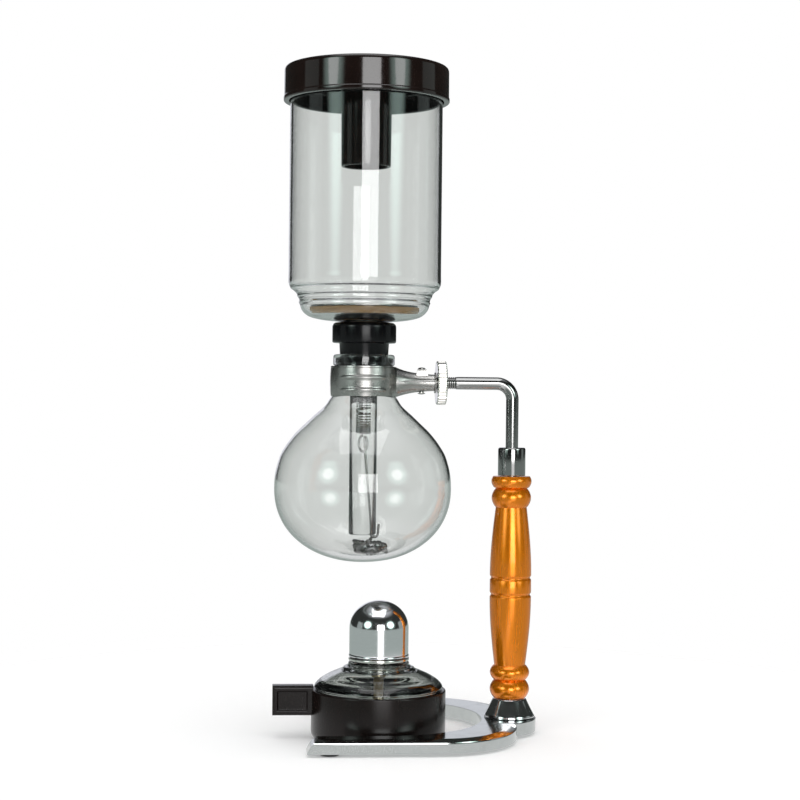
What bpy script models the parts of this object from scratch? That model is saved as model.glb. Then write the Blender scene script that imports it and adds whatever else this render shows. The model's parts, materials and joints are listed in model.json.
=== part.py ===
"""Siphon coffee maker: chrome stand with a lacquered grip, glass globe and bowl, spirit burner.

Metres, +Z up.  The origin is on the table, under the axis of the post.  The glassware hangs over
the table on the -X side of the post, and the front prong of the base lies towards -Y.
"""

from math import acos, cos, hypot, pi, radians, sin, sqrt

import bmesh
import bpy
from mathutils import Euler

# ---------------------------------------------------------------- driving dimensions
GAP = 0.0003                    # left between pieces that touch

# stand
ARM_REACH = 0.0750              # post axis to glassware axis
PAD_HEIGHT = 0.0009
PAD_RADIUS = 0.0045
POST_PAD_RADIUS = 0.0085
BASE_HEIGHT = 0.0064
BASE_EDGE_HEIGHT = 0.0010       # of the sloped border round the top
BASE_EDGE_WIDTH = 0.0050
PRONG_WIDTH = 0.0128
PRONG_LENGTH = 0.0391           # straight part, from the round end of the opening to the tip
TAIL_RADIUS = 0.0240
CORNER_X = 0.0005               # of the outer corners, from the post axis
FOOT_RADIUS = 0.0127
FOOT_TOP_RADIUS = 0.0081
FOOT_HEIGHT = 0.0090
FOOT_MARGIN = 0.0016            # base material left between foot and opening
TIE_RADIUS = 0.0025
TIE_HEAD_RADIUS = 0.0045
TIE_HEAD_HEIGHT = 0.0025
GRIP_BARREL_RADIUS = 0.0104
GRIP_NECK_RADIUS = 0.0078
END_BEAD = 0.0090               # widths of the grip's beads, upwards
LOWER_BEAD = 0.0076
UPPER_BEAD = 0.0096
TOP_BEAD = 0.0060
GROOVE_WIDTH = 0.0027
GROOVE_DEPTH = 0.0005
GRIP_RING = 0.0057              # between the grooves
FERRULE_RADIUS = 0.0069
FERRULE_HEIGHT = 0.0141
FERRULE_CHAMFER = 0.0010
BOLT_DEPTH = 0.4                # share of the ferrule that the tie bolt takes up
FERRULE_TO_ARM = 0.0321         # top of the ferrule to the axis of the arm
ROD_RADIUS = 0.00315
THREAD_DEPTH = 0.00015             # of the threaded end's surface below the rod's
BEND_RADIUS = 0.0080

# clamp
BAND_WALL = 0.0008
BAND_ROOM = 0.0003              # between the band and the widest part of the neck inside it
BAND_BELOW_ARM = 0.0071
TAIL_WALL = 0.0009
TAIL_OVERLAP = 0.0004           # by which the tail's bore is cut longer than the tail
TAIL_END_RADIUS = 0.0048
TAIL_ROOT_RADIUS = 0.0072
PIN_TO_TAIL_END = 0.0062
BAND_TO_PIN = 0.0119            # outside of the band to the hinge pin
PIN_RADIUS = 0.0012
TAB_RADIUS = 0.0028
TAB_THICKNESS = 0.0008
JAW_OPENING = radians(5)
WASHER_RADIUS = 0.0052
WASHER_THICKNESS = 0.0007
NUT_RADIUS = 0.0110
NUT_THICKNESS = 0.0047
NUT_TEETH = 24
THREAD_SHOWN = 0.0053           # beyond the tightened nut
ROD_PAST_PIN = 0.0045
ARM_ABOVE_NECK = 0.0020         # arm axis above the foot of the globe's straight neck

# glass globe
GLOBE_RADIUS = 0.04415
GLOBE_WALL = 0.0016
GLOBE_LOWER_HEIGHT = 0.0366     # below the widest circle
GLOBE_UPPER_HEIGHT = 0.0458     # above it, to the crown that the neck cuts off
GLOBE_CROWN = ((0.889, 0.442), (0.801, 0.544), (0.714, 0.639), (0.627, 0.734), (0.539, 0.813),
               (0.452, 0.877), (0.365, 0.929), (0.190, 0.983))  # shares of height and radius
NECK_RADIUS = 0.0142
NECK_BORE_RADIUS = 0.0121
NECK_FLARE_RADIUS = 0.0160
LIP_RADIUS = 0.0154
LIP_HEIGHT = 0.00545
NECK_HEIGHT = 0.0103            # straight neck below the lip
CROWN_TO_NECK = 0.0052          # crown of the upper ellipse to the foot of the straight neck

# glass bowl with its stem
BOWL_RADIUS = 0.0381
BOWL_WALL = 0.0017
BOWL_HEIGHT = 0.1233            # from the top of the stopper to the rim
BOWL_SHOULDER_HEIGHT = 0.0198   # from the top of the stopper to the foot of the straight wall
STEM_RADIUS = 0.00685
STEM_BORE_RADIUS = 0.00525
STEM_TIP_HEIGHT = 0.01175       # above the floor of the globe
STOPPER_FLANGE_RADIUS = 0.0160
STOPPER_FLANGE_HEIGHT = 0.0105
STOPPER_REVEAL = 0.00575        # between the lip of the globe and the flange
STOPPER_PLUG_DEPTH = 0.0168     # below the lip's top
STOPPER_TAPER = 0.0010

# filter, spring and chain
FILTER_RADIUS = 0.0268
FILTER_SEAT = 0.0048            # underside of the filter above the top of the stopper
PLATE_THICKNESS = 0.0008
CLOTH_THICKNESS = 0.0012
PLATE_HOLE_RADIUS = 0.0012
PLATE_HOLES = 8
STUD_RADIUS = 0.0009
STUD_LENGTH = 0.0298            # from the filter down to the spring
SPRING_RADIUS = 0.0034          # at the middle of the wire
SPRING_WIRE_RADIUS = 0.0004
SPRING_LENGTH = 0.0300
SPRING_TURNS = 8
HOOK_WIRE_RADIUS = 0.0006
BEAD_RADIUS = 0.0011
BEAD_LINK_RADIUS = 0.0004
BEAD_COUNT = 22
HEAP_RADIUS = 0.0066            # middle of the outer turn of beads
HEAP_OFFSET = 0.0040            # from the glassware axis

# lid
LID_RADIUS = 0.0415
LID_TOP_THICKNESS = 0.0034
LID_SKIRT_HEIGHT = 0.0138       # below the underside of its top
LID_ROOM = 0.0006
LID_LIP_WIDTH = 0.0014
LID_LIP_HEIGHT = 0.0060
SOCKET_RADIUS = 0.0124
SOCKET_WALL = 0.0016
SOCKET_DEPTH = 0.0461           # below the underside of the top

# spirit burner
BURNER_X = 0.0080               # from the glassware axis
BURNER_Y = -0.0140
BURNER_ROOM = 0.0026            # between the burner and the base
POST_OFFSET = 0.0036            # of the opening's centre beyond the burner, towards the post
HOLDER_RADIUS = 0.0331
HOLDER_HEIGHT = 0.0240
HOLDER_WALL = 0.0026
HOLDER_FLOOR = 0.0022
HOLDER_EDGE = 0.0040            # rounding of its bottom edge
TAB_LENGTH = 0.0190
TAB_WIDTH = 0.0090
TAB_LOW = 0.0116
TAB_HEIGHT = 0.0143
TAB_PANEL_DEPTH = 0.0008
TAB_PANEL_BORDER = 0.0022
RESERVOIR_WALL = 0.0018
RESERVOIR_DOME = 0.0140         # from the holder's rim to the neck's top
RESERVOIR_NECK_RADIUS = 0.0125
COLLAR_RADIUS = 0.0168
COLLAR_THICKNESS = 0.0014
COLLAR_PLUG_DEPTH = 0.0060
WICK_RADIUS = 0.0026
WICK_TUBE_WALL = 0.0006
WICK_TUBE_HEIGHT = 0.0085       # above the collar
WICK_SHOWN = 0.0045             # above its tube
CAP_RADIUS = 0.0144
CAP_WALL = 0.0007
CAP_STRAIGHT = 0.0140
CAP_DOME = 0.0135
CAP_RIM = 0.0006                # rolled rim, beyond the wall
FLAME_ROOM = 0.0179             # top of the snuffer cap to the bottom of the globe

# ---------------------------------------------------------------- places worked out from them
BASE_LOW = PAD_HEIGHT + GAP
BASE_TOP = BASE_LOW + BASE_HEIGHT
BURNER_ASIDE = hypot(BURNER_X - FOOT_MARGIN - FOOT_RADIUS + POST_OFFSET, BURNER_Y)
OPENING_RADIUS = HOLDER_RADIUS + BURNER_ASIDE + BURNER_ROOM
OPENING_X = -FOOT_RADIUS - FOOT_MARGIN - OPENING_RADIUS
BASE_HALF_WIDTH = OPENING_RADIUS + PRONG_WIDTH
TIP_X = OPENING_X - PRONG_LENGTH
TAIL_X = FOOT_RADIUS + CORNER_X - TAIL_RADIUS
PRONG_PAD_X = TIP_X + BASE_HEIGHT + PAD_RADIUS
PRONG_PAD_Y = OPENING_RADIUS + PRONG_WIDTH / 2

GLASS_X = -ARM_REACH
HOLDER_INNER_RADIUS = HOLDER_RADIUS - HOLDER_WALL
RESERVOIR_RADIUS = HOLDER_INNER_RADIUS - GAP
RESERVOIR_LOW = HOLDER_FLOOR + GAP
RESERVOIR_TOP = HOLDER_HEIGHT + RESERVOIR_DOME
COLLAR_LOW = RESERVOIR_TOP + GAP
CAP_LOW = COLLAR_LOW + COLLAR_THICKNESS + GAP
CAP_TOP = CAP_LOW + CAP_STRAIGHT + CAP_DOME

GLOBE_LOW = CAP_TOP + FLAME_ROOM
GLOBE_MIDDLE = GLOBE_LOW + GLOBE_LOWER_HEIGHT
NECK_LOW = GLOBE_MIDDLE + GLOBE_UPPER_HEIGHT + CROWN_TO_NECK
LIP_LOW = NECK_LOW + NECK_HEIGHT
LIP_TOP = LIP_LOW + LIP_HEIGHT
GLOBE_FLOOR = GLOBE_LOW + GLOBE_WALL

ARM_Z = NECK_LOW + ARM_ABOVE_NECK
GRIP_LOW = BASE_TOP + FOOT_HEIGHT + 2 * GAP
FERRULE_LOW = ARM_Z - FERRULE_TO_ARM - FERRULE_HEIGHT
GRIP_TOP = FERRULE_LOW - GAP
FERRULE_TOP = FERRULE_LOW + FERRULE_HEIGHT
FERRULE_SHELF = FERRULE_LOW + BOLT_DEPTH * FERRULE_HEIGHT
TIE_BORE_RADIUS = TIE_RADIUS + GAP
ROD_BORE_RADIUS = ROD_RADIUS + GAP
TIE_HEAD_LOW = BASE_LOW + GAP
TIE_SHELF = TIE_HEAD_LOW + TIE_HEAD_HEIGHT + GAP

BAND_INNER_RADIUS = NECK_FLARE_RADIUS + BAND_ROOM
BAND_RADIUS = BAND_INNER_RADIUS + BAND_WALL
BAND_LOW = ARM_Z - BAND_BELOW_ARM
BAND_TOP = LIP_LOW - GAP
PIN_X = GLASS_X + BAND_RADIUS + BAND_TO_PIN
TAIL_END_X = PIN_X + PIN_TO_TAIL_END
TAIL_TAPER = (TAIL_ROOT_RADIUS - TAIL_END_RADIUS) / (TAIL_END_X - GLASS_X - BAND_RADIUS)
TAIL_PIN_RADIUS = TAIL_END_RADIUS + TAIL_TAPER * PIN_TO_TAIL_END
WASHER_X = TAIL_END_X + GAP
NUT_X = WASHER_X + WASHER_THICKNESS + GAP
THREAD_END_X = NUT_X + NUT_THICKNESS + THREAD_SHOWN
ROD_END_X = PIN_X - ROD_PAST_PIN

STOPPER_FLANGE_LOW = LIP_TOP + STOPPER_REVEAL
STOPPER_TOP = STOPPER_FLANGE_LOW + STOPPER_FLANGE_HEIGHT
STOPPER_LOW = LIP_TOP - STOPPER_PLUG_DEPTH
STOPPER_NECK_RADIUS = NECK_BORE_RADIUS - GAP
BOWL_RIM = STOPPER_TOP + BOWL_HEIGHT
STEM_TIP = GLOBE_FLOOR + STEM_TIP_HEIGHT

PLATE_LOW = STOPPER_TOP + FILTER_SEAT
CLOTH_LOW = PLATE_LOW + PLATE_THICKNESS + GAP
UPPER_PLATE_LOW = CLOTH_LOW + CLOTH_THICKNESS + GAP
FILTER_TOP = UPPER_PLATE_LOW + PLATE_THICKNESS
STUD_BORE_RADIUS = STUD_RADIUS + GAP
SPRING_TOP = PLATE_LOW - STUD_LENGTH
SPRING_LOW = SPRING_TOP - SPRING_LENGTH

LID_UNDERSIDE = BOWL_RIM + GAP
LID_TOP = LID_UNDERSIDE + LID_TOP_THICKNESS


# ---------------------------------------------------------------- helpers
def clear_scene():
    """Empty the scene, so that the script can run in any file."""
    for item in list(bpy.data.objects):
        bpy.data.objects.remove(item, do_unlink=True)


def new_collection(name):
    """Return a collection of the scene."""
    group = bpy.data.collections.new(name)
    bpy.context.scene.collection.children.link(group)
    return group


def finish(name, colour, roughness, metallic=0.0, transmission=0.0):
    """Return a Principled material."""
    made = bpy.data.materials.new(name)
    made.use_nodes = True
    shader = made.node_tree.nodes["Principled BSDF"]
    shader.inputs["Base Color"].default_value = (*colour, 1.0)
    shader.inputs["Roughness"].default_value = roughness
    shader.inputs["Metallic"].default_value = metallic
    shader.inputs["Transmission Weight"].default_value = transmission
    made.diffuse_color = (*colour, 1.0)
    return made


def axis_at(name, place, parent=None):
    """Return an empty that stands on a joint's axis or at a sub-assembly's centre."""
    empty = bpy.data.objects.new(name, None)
    parts.objects.link(empty)
    empty.parent = parent
    empty.location = place
    return empty


def place_mesh(name, mesh, material, parent=None, group=None):
    """Put a mesh into the scene as a named piece."""
    piece = bpy.data.objects.new(name, mesh)
    (group or parts).objects.link(piece)
    piece.parent = parent
    if material:
        mesh.materials.append(material)
    return piece


def turned(name, profile, material, parent=None, steps=32, group=None):
    """Turn a closed profile of (radius, height) points about Z.

    The points run down the outside of the section and up its inside.  A section that reaches
    the axis starts and ends on it, and any other is joined back to its first point.
    """
    on_axis = profile[0][0] == 0
    count = len(profile)
    edges = [(i, i + 1) for i in range(count - 1)]
    if not on_axis:
        edges.append((count - 1, 0))
    mesh = bpy.data.meshes.new(name)
    mesh.from_pydata([(r, 0, z) for r, z in profile], edges, [])
    piece = place_mesh(name, mesh, material, parent, group)
    screw = piece.modifiers.new("turn", "SCREW")
    screw.axis = "Z"
    screw.steps = screw.render_steps = steps
    screw.use_merge_vertices = True
    screw.merge_threshold = 0.00001
    screw.use_smooth_shade = True
    return piece


def round_wire(name, points, radius, material, parent=None, sides=2, closed=False):
    """Sweep a round wire along points, each (x, y, z) or (x, y, z, share of the radius)."""
    curve = bpy.data.curves.new(name, "CURVE")
    curve.dimensions = "3D"
    curve.bevel_depth = radius
    curve.bevel_resolution = sides
    curve.use_fill_caps = not closed
    line = curve.splines.new("POLY")
    line.points.add(len(points) - 1)
    for knot, point in zip(line.points, points):
        knot.co = (*point[:3], 1.0)
        knot.radius = point[3] if len(point) > 3 else 1.0
    line.use_cyclic_u = closed
    piece = bpy.data.objects.new(name, curve)
    parts.objects.link(piece)
    piece.parent = parent
    curve.materials.append(material)
    return piece


def as_mesh(piece, group=None):
    """Make a curve object a closed mesh that a Boolean can cut."""
    name, parent, place = piece.name, piece.parent, piece.location.copy()
    bpy.context.view_layer.update()
    evaluated = piece.evaluated_get(bpy.context.evaluated_depsgraph_get())
    mesh = bpy.data.meshes.new_from_object(evaluated)
    bpy.data.objects.remove(piece, do_unlink=True)
    made = place_mesh(name, mesh, None, parent, group)
    made.location = place
    weld(made)
    return made


def weld(piece):
    """Join the points of a mesh that lie on each other."""
    shape = bmesh.new()
    shape.from_mesh(piece.data)
    bmesh.ops.remove_doubles(shape, verts=shape.verts, dist=0.000001)
    shape.to_mesh(piece.data)
    shape.free()


def prism(name, loops, low, high, material, parent, group=None):
    """Extrude a flat outline, with any holes in it as further loops, between two heights."""
    curve = bpy.data.curves.new(name, "CURVE")
    curve.dimensions = "2D"
    curve.fill_mode = "BOTH"
    curve.extrude = (high - low) / 2
    for loop in loops:
        line = curve.splines.new("POLY")
        line.points.add(len(loop) - 1)
        line.use_cyclic_u = True
        for knot, point in zip(line.points, loop):
            knot.co = (*point, 0, 1)
    piece = bpy.data.objects.new(name, curve)
    (group or parts).objects.link(piece)
    piece.parent = parent
    piece.location = (0, 0, (low + high) / 2)
    if material:
        curve.materials.append(material)
    return as_mesh(piece, group)


def cylinder(name, radius, low, high, steps=16, place=(0, 0), group=None, parent=None, material=None):
    """Return an upright cylinder between two heights."""
    bpy.ops.mesh.primitive_cylinder_add(vertices=steps, radius=radius, depth=high - low)
    return adopt(name, (place[0], place[1], (low + high) / 2), material, group, parent)


def box(name, low, high, group=None, parent=None, material=None):
    """Return a box between two corners."""
    size = [b - a for a, b in zip(low, high)]
    bpy.ops.mesh.primitive_cube_add(size=1)
    piece = adopt(name, [(a + b) / 2 for a, b in zip(low, high)], material, group, parent)
    piece.scale = size
    bake_scale(piece)
    return piece


def bake_scale(piece):
    """Take the scale of a piece into its mesh."""
    for point in piece.data.vertices:
        point.co = [value * share for value, share in zip(point.co, piece.scale)]
    piece.scale = (1, 1, 1)


def adopt(name, place, material, group, parent):
    """Name the primitive just made, and move it into its collection."""
    piece = bpy.context.object
    piece.name = piece.data.name = name
    for owner in list(piece.users_collection):
        owner.objects.unlink(piece)
    (group or parts).objects.link(piece)
    piece.parent = parent
    piece.location = place
    if material:
        piece.data.materials.append(material)
    return piece


def hide(tool):
    """Mark a cutting tool, which is no piece of the object."""
    tool.hide_render = True
    tool.display_type = "WIRE"
    return tool


def combine(piece, operation, *tools):
    """Cut a piece with tools, join them to it, or keep what they share."""
    for tool in tools:
        step = piece.modifiers.new(tool.name, "BOOLEAN")
        step.operation = operation
        step.solver = "EXACT"
        step.object = hide(tool)


def arc(centre, radius, start, end, count):
    """Return points of an arc, with angles in degrees; radius may be (across, up)."""
    across, up = radius if isinstance(radius, tuple) else (radius, radius)
    turns = [radians(start + (end - start) * i / (count - 1)) for i in range(count)]
    return [(centre[0] + across * cos(a), centre[1] + up * sin(a)) for a in turns]


def ring(outer, inner, low, high):
    """Return the profile of a plain ring."""
    return [(outer, high), (outer, low), (inner, low), (inner, high)]


# ---------------------------------------------------------------- stand
def half_outline(inset, height):
    """Return the base's outline for y > 0 at a height, from the tail's end to its opening.

    The border is inset from the outer edge, and the tips of the prongs slope back with height.
    """
    tail_angle = acos((CORNER_X - TAIL_X) / TAIL_RADIUS)
    tail = [(TAIL_X + TAIL_RADIUS * cos(tail_angle * i / 6), TAIL_RADIUS * sin(tail_angle * i / 6))
            for i in range(7)]
    corner = BASE_HALF_WIDTH - TAIL_RADIUS * sin(tail_angle)
    centre = (CORNER_X - corner, BASE_HALF_WIDTH - corner)
    bend = arc(centre, corner - inset, 0, 90, 10)
    slope = height - BASE_LOW
    tip = [(TIP_X + slope, BASE_HALF_WIDTH - inset), (TIP_X + slope, OPENING_RADIUS)]
    opening = arc((OPENING_X, 0), OPENING_RADIUS, 90, 0, 13)
    return tail, bend + tip, opening


def base_section(inset, height):
    """Return one closed section of the base as 3-D points."""
    tail, side, opening = half_outline(inset, height)
    upper = tail + side + opening
    lower = [(x, -y) for x, y in reversed(upper[1:-1])]
    return [(x, y, height) for x, y in upper + lower]


def make_base():
    """Loft the horseshoe base between its sections, and cut the tie bolt's seat into it."""
    edge = BASE_TOP - BASE_EDGE_HEIGHT
    sections = [base_section(0, BASE_LOW), base_section(0, edge),
                base_section(BASE_EDGE_WIDTH, BASE_TOP)]
    shape = bmesh.new()
    rings = [[shape.verts.new(point) for point in section] for section in sections]
    count = len(rings[0])
    for low, high in zip(rings, rings[1:]):
        for i in range(count):
            j = (i + 1) % count
            shape.faces.new((low[i], low[j], high[j], high[i]))
    shape.faces.new(list(reversed(rings[0])))
    shape.faces.new(rings[-1])
    mesh = bpy.data.meshes.new("base_plate")
    shape.to_mesh(mesh)
    shape.free()
    base = place_mesh("base_plate", mesh, CHROME, stand)
    seat = turned("tie_seat", [(0, BASE_TOP + GAP), (TIE_BORE_RADIUS, BASE_TOP + GAP),
                               (TIE_BORE_RADIUS, TIE_SHELF), (TIE_HEAD_RADIUS + GAP, TIE_SHELF),
                               (TIE_HEAD_RADIUS + GAP, BASE_LOW - GAP), (0, BASE_LOW - GAP)],
                  None, stand, 20, tools)
    combine(base, "DIFFERENCE", seat)


def make_pads():
    """Make the three rubber pads that the stand rests on."""
    cylinder("pad_post", POST_PAD_RADIUS, 0, PAD_HEIGHT, 28, parent=stand, material=RUBBER)
    for name, side in (("pad_front", -1), ("pad_back", 1)):
        cylinder(name, PAD_RADIUS, 0, PAD_HEIGHT, 20, (PRONG_PAD_X, side * PRONG_PAD_Y),
                 parent=stand, material=RUBBER)


def bump(low, high, edge, peak, count=5):
    """Return half a wave of (height, radius) points, from edge up to peak and back."""
    return [(low + (high - low) * i / count, edge + (peak - edge) * sin(pi * i / count))
            for i in range(count)]


def barrel(low, high, start, end, count=4):
    """Return a quarter wave of (height, radius) points that swells towards its thick end."""
    shares = [i / count for i in range(count)]
    if end > start:
        return [(low + (high - low) * t, start + (end - start) * sin(pi / 2 * t)) for t in shares]
    return [(low + (high - low) * t, end + (start - end) * cos(pi / 2 * t)) for t in shares]


def grip_profile():
    """Return the grip's outside from bottom to top, as (height, radius) points.

    Two beads stand at each end, and a ring between two grooves at the middle; the barrels
    between them take up the rest of the length.
    """
    thick, thin = GRIP_BARREL_RADIUS, GRIP_NECK_RADIUS
    beads = END_BEAD + LOWER_BEAD + UPPER_BEAD + TOP_BEAD
    span = (GRIP_TOP - GRIP_LOW - beads - 2 * GROOVE_WIDTH - GRIP_RING) / 2
    crest = thick - 0.0005
    z = GRIP_LOW
    outline = bump(z, z + END_BEAD, thin, crest)
    z += END_BEAD
    outline += bump(z, z + LOWER_BEAD, thin, crest)
    z += LOWER_BEAD
    outline += barrel(z, z + span, thin, thick)
    z += span
    for rise in (0, GROOVE_WIDTH + GRIP_RING):
        outline += [(z + rise, thick), (z + rise + GROOVE_WIDTH / 2, thick - GROOVE_DEPTH)]
    z += 2 * GROOVE_WIDTH + GRIP_RING
    outline += [(z, thick)] + barrel(z, z + span, thick, thin)[1:]
    z += span
    outline += bump(z, z + UPPER_BEAD, thin, crest)
    z += UPPER_BEAD
    outline += bump(z, z + TOP_BEAD, thin + 0.0006, thick - 0.0003)[:-1]
    return outline + [(GRIP_TOP, thick - 0.0010)]


def make_post():
    """Make the foot, grip, ferrule, tie bolt and bent rod of the post."""
    turned("post_foot", [(FOOT_TOP_RADIUS, GRIP_LOW - GAP), (FOOT_RADIUS, BASE_TOP + 0.0010),
                         (FOOT_RADIUS, BASE_TOP + GAP), (TIE_BORE_RADIUS, BASE_TOP + GAP),
                         (TIE_BORE_RADIUS, GRIP_LOW - GAP)], CHROME, stand, 28)
    outside = [(r, z) for z, r in reversed(grip_profile())]
    turned("handle_grip", outside + [(TIE_BORE_RADIUS, GRIP_LOW), (TIE_BORE_RADIUS, GRIP_TOP)],
           LACQUER, stand, 20)
    turned("post_ferrule", [(FERRULE_RADIUS - FERRULE_CHAMFER, FERRULE_TOP),
                            (FERRULE_RADIUS, FERRULE_TOP - FERRULE_CHAMFER),
                            (FERRULE_RADIUS, FERRULE_LOW), (TIE_BORE_RADIUS, FERRULE_LOW),
                            (TIE_BORE_RADIUS, FERRULE_SHELF), (ROD_BORE_RADIUS, FERRULE_SHELF),
                            (ROD_BORE_RADIUS, FERRULE_TOP)], CHROME, stand, 24)
    turned("tie_bolt", [(0, FERRULE_SHELF - GAP), (TIE_RADIUS, FERRULE_SHELF - GAP),
                        (TIE_RADIUS, TIE_SHELF - GAP), (TIE_HEAD_RADIUS, TIE_SHELF - GAP),
                        (TIE_HEAD_RADIUS, TIE_HEAD_LOW), (0, TIE_HEAD_LOW)], STEEL, stand, 16)


def make_rod():
    """Bend the arm's rod: up out of the ferrule, over the bend and into the clamp's tail."""
    thin = 1 - THREAD_DEPTH / ROD_RADIUS
    bend = arc((-BEND_RADIUS, ARM_Z - BEND_RADIUS), BEND_RADIUS, 0, 90, 9)
    route = [(0, 0, FERRULE_SHELF + GAP)] + [(x, 0, z) for x, z in bend]
    route += [(THREAD_END_X + 0.0005, 0, ARM_Z), (THREAD_END_X, 0, ARM_Z, thin),
              (ROD_END_X, 0, ARM_Z, thin)]
    rod = as_mesh(round_wire("post_rod", route, ROD_RADIUS, CHROME, stand, 4))
    eye = cylinder("rod_eye", PIN_RADIUS + GAP, ARM_Z - 2 * ROD_RADIUS, ARM_Z + 2 * ROD_RADIUS, 12,
                   (PIN_X, 0), tools)
    combine(rod, "DIFFERENCE", eye)


# ---------------------------------------------------------------- clamp
def make_tail_former(name, wall, extra):
    """Return the clamp's tail, a cone about the arm's axis, thinned by a wall."""
    root, end = GLASS_X + BAND_RADIUS - 0.0015 - extra, TAIL_END_X + extra
    length = end - root
    profile = [(0, length), (TAIL_END_RADIUS - wall, length), (TAIL_ROOT_RADIUS - wall, 0), (0, 0)]
    tail = turned(name, profile, None, None, 24, tools)
    tail.location = (root, 0, ARM_Z)
    tail.rotation_euler = Euler((0, pi / 2, 0))
    return tail


def make_jaw(name, side, tab_level, near):
    """Make one jaw of the clamp: half of the band, half of the tail and its two hinge tabs.

    side is -1 for the front jaw and 1 for the back one, tab_level is the distance of the tabs
    above and below the arm's axis, and near is how far the webs under them stand off the split.
    """
    hinge = axis_at(name + "_axis", (PIN_X, 0, ARM_Z), stand)
    flange = NECK_RADIUS + GAP
    band = [(BAND_RADIUS, BAND_TOP), (BAND_RADIUS, BAND_LOW), (BAND_INNER_RADIUS, BAND_LOW),
            (BAND_INNER_RADIUS, BAND_TOP - BAND_WALL), (flange, BAND_TOP - BAND_WALL),
            (flange, BAND_TOP)]
    lift = -ARM_Z
    jaw = turned(name, [(r, z + lift) for r, z in band], STEEL, hinge, 36)
    jaw.location = (GLASS_X - PIN_X, 0, 0)
    combine(jaw, "UNION", make_tail_former(name + "_tail", 0, 0))
    neck = cylinder(name + "_neck", BAND_INNER_RADIUS, BAND_LOW - 0.001, BAND_TOP - BAND_WALL, 36,
                    (GLASS_X, 0), tools)
    combine(jaw, "DIFFERENCE", neck, make_tail_former(name + "_bore", TAIL_WALL, TAIL_OVERLAP))
    far, mid = 0.05, GAP
    relief = mid + (PIN_TO_TAIL_END + 0.001) * sin(JAW_OPENING)
    end_x = TAIL_END_X + 0.001
    split = [(GLASS_X - far, mid), (PIN_X, mid), (end_x, relief), (end_x, -far), (GLASS_X - far, -far)]
    combine(jaw, "DIFFERENCE", prism(name + "_split", [[(x, side * y) for x, y in split]],
                                     ARM_Z - far, ARM_Z + far, None, None, tools))
    outer = near + TAB_THICKNESS
    root = sqrt(TAIL_PIN_RADIUS ** 2 - outer ** 2) - 0.0004
    for end, direction in (("top", 1), ("low", -1)):
        level = ARM_Z + direction * tab_level
        low, high = level - TAB_THICKNESS / 2, level + TAB_THICKNESS / 2
        tab = cylinder(f"{name}_tab_{end}", TAB_RADIUS, low, high, 16, (PIN_X, 0), tools)
        heights = sorted((level, ARM_Z + direction * root))
        sides = sorted((side * near, side * outer))
        shelf = sorted((0, side * outer))
        combine(jaw, "UNION", tab,
                box(f"{name}_shelf_{end}", (PIN_X - TAB_RADIUS, shelf[0], low),
                    (PIN_X + TAB_RADIUS, shelf[1], high), tools),
                box(f"{name}_web_{end}", (PIN_X - TAB_RADIUS, sides[0], heights[0]),
                    (PIN_X + TAB_RADIUS, sides[1], heights[1]), tools))
    drill = cylinder(name + "_drill", PIN_RADIUS + GAP, ARM_Z - 0.01, ARM_Z + 0.01, 12, (PIN_X, 0), tools)
    combine(jaw, "DIFFERENCE", drill)


def make_clamp():
    """Make the jaws, their hinge pin, the thrust washer and the knurled nut."""
    back_level = TAIL_PIN_RADIUS + 2 * GAP + TAB_THICKNESS / 2
    front_level = back_level + TAB_THICKNESS + GAP
    make_jaw("clamp_jaw_front", -1, front_level, TAB_RADIUS + GAP)
    make_jaw("clamp_jaw_back", 1, back_level, 2 * GAP)
    head, reach = PIN_RADIUS + 0.0008, front_level + TAB_THICKNESS / 2 + GAP
    pin = turned("clamp_pin", [(0, reach + 0.0008), (head * 0.7, reach + 0.0006), (head, reach),
                               (PIN_RADIUS, reach), (PIN_RADIUS, -reach), (head, -reach),
                               (head * 0.7, -reach - 0.0006), (0, -reach - 0.0008)],
                 STEEL, axis_at("pin_axis", (PIN_X, 0, ARM_Z), stand), 12)
    pin.location = (0, 0, 0)

    travel = axis_at("nut_axis", (0, 0, ARM_Z), stand)
    travel.rotation_euler = Euler((0, pi / 2, 0))
    turned("thrust_washer", ring(WASHER_RADIUS, ROD_BORE_RADIUS, WASHER_X, WASHER_X + WASHER_THICKNESS),
           STEEL, travel, 24)
    valley = NUT_RADIUS - 0.0007
    knurl = [(valley if i % 2 else NUT_RADIUS, pi * i / NUT_TEETH) for i in range(2 * NUT_TEETH)]
    bore = [(ROD_BORE_RADIUS, 2 * pi * i / 16) for i in range(16)]
    loops = [[(radius * cos(angle), radius * sin(angle)) for radius, angle in loop]
             for loop in (knurl, bore)]
    prism("thumb_nut", loops, NUT_X, NUT_X + NUT_THICKNESS, NICKEL, travel)


# ---------------------------------------------------------------- glassware
def globe_side(inset, steps):
    """Return the globe's side from the neck down to the axis, moved in by an inset."""
    radius, lower = GLOBE_RADIUS - inset, GLOBE_LOWER_HEIGHT - inset
    upper = GLOBE_UPPER_HEIGHT - inset
    crown = [(radius * wide, GLOBE_MIDDLE + upper * high) for high, wide in GLOBE_CROWN]
    belly = []
    for i in range(steps + 1):
        angle = pi / 2 * i / steps
        belly.append((radius * cos(angle) ** 0.93, GLOBE_MIDDLE - lower * sin(angle) ** 0.93))
    belly[-1] = (0, GLOBE_MIDDLE - lower)
    flare = [(NECK_FLARE_RADIUS - inset, NECK_LOW - 0.0050),
             (NECK_FLARE_RADIUS + 0.0012 - inset, NECK_LOW - 0.0071)]
    return flare + crown + belly


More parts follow.
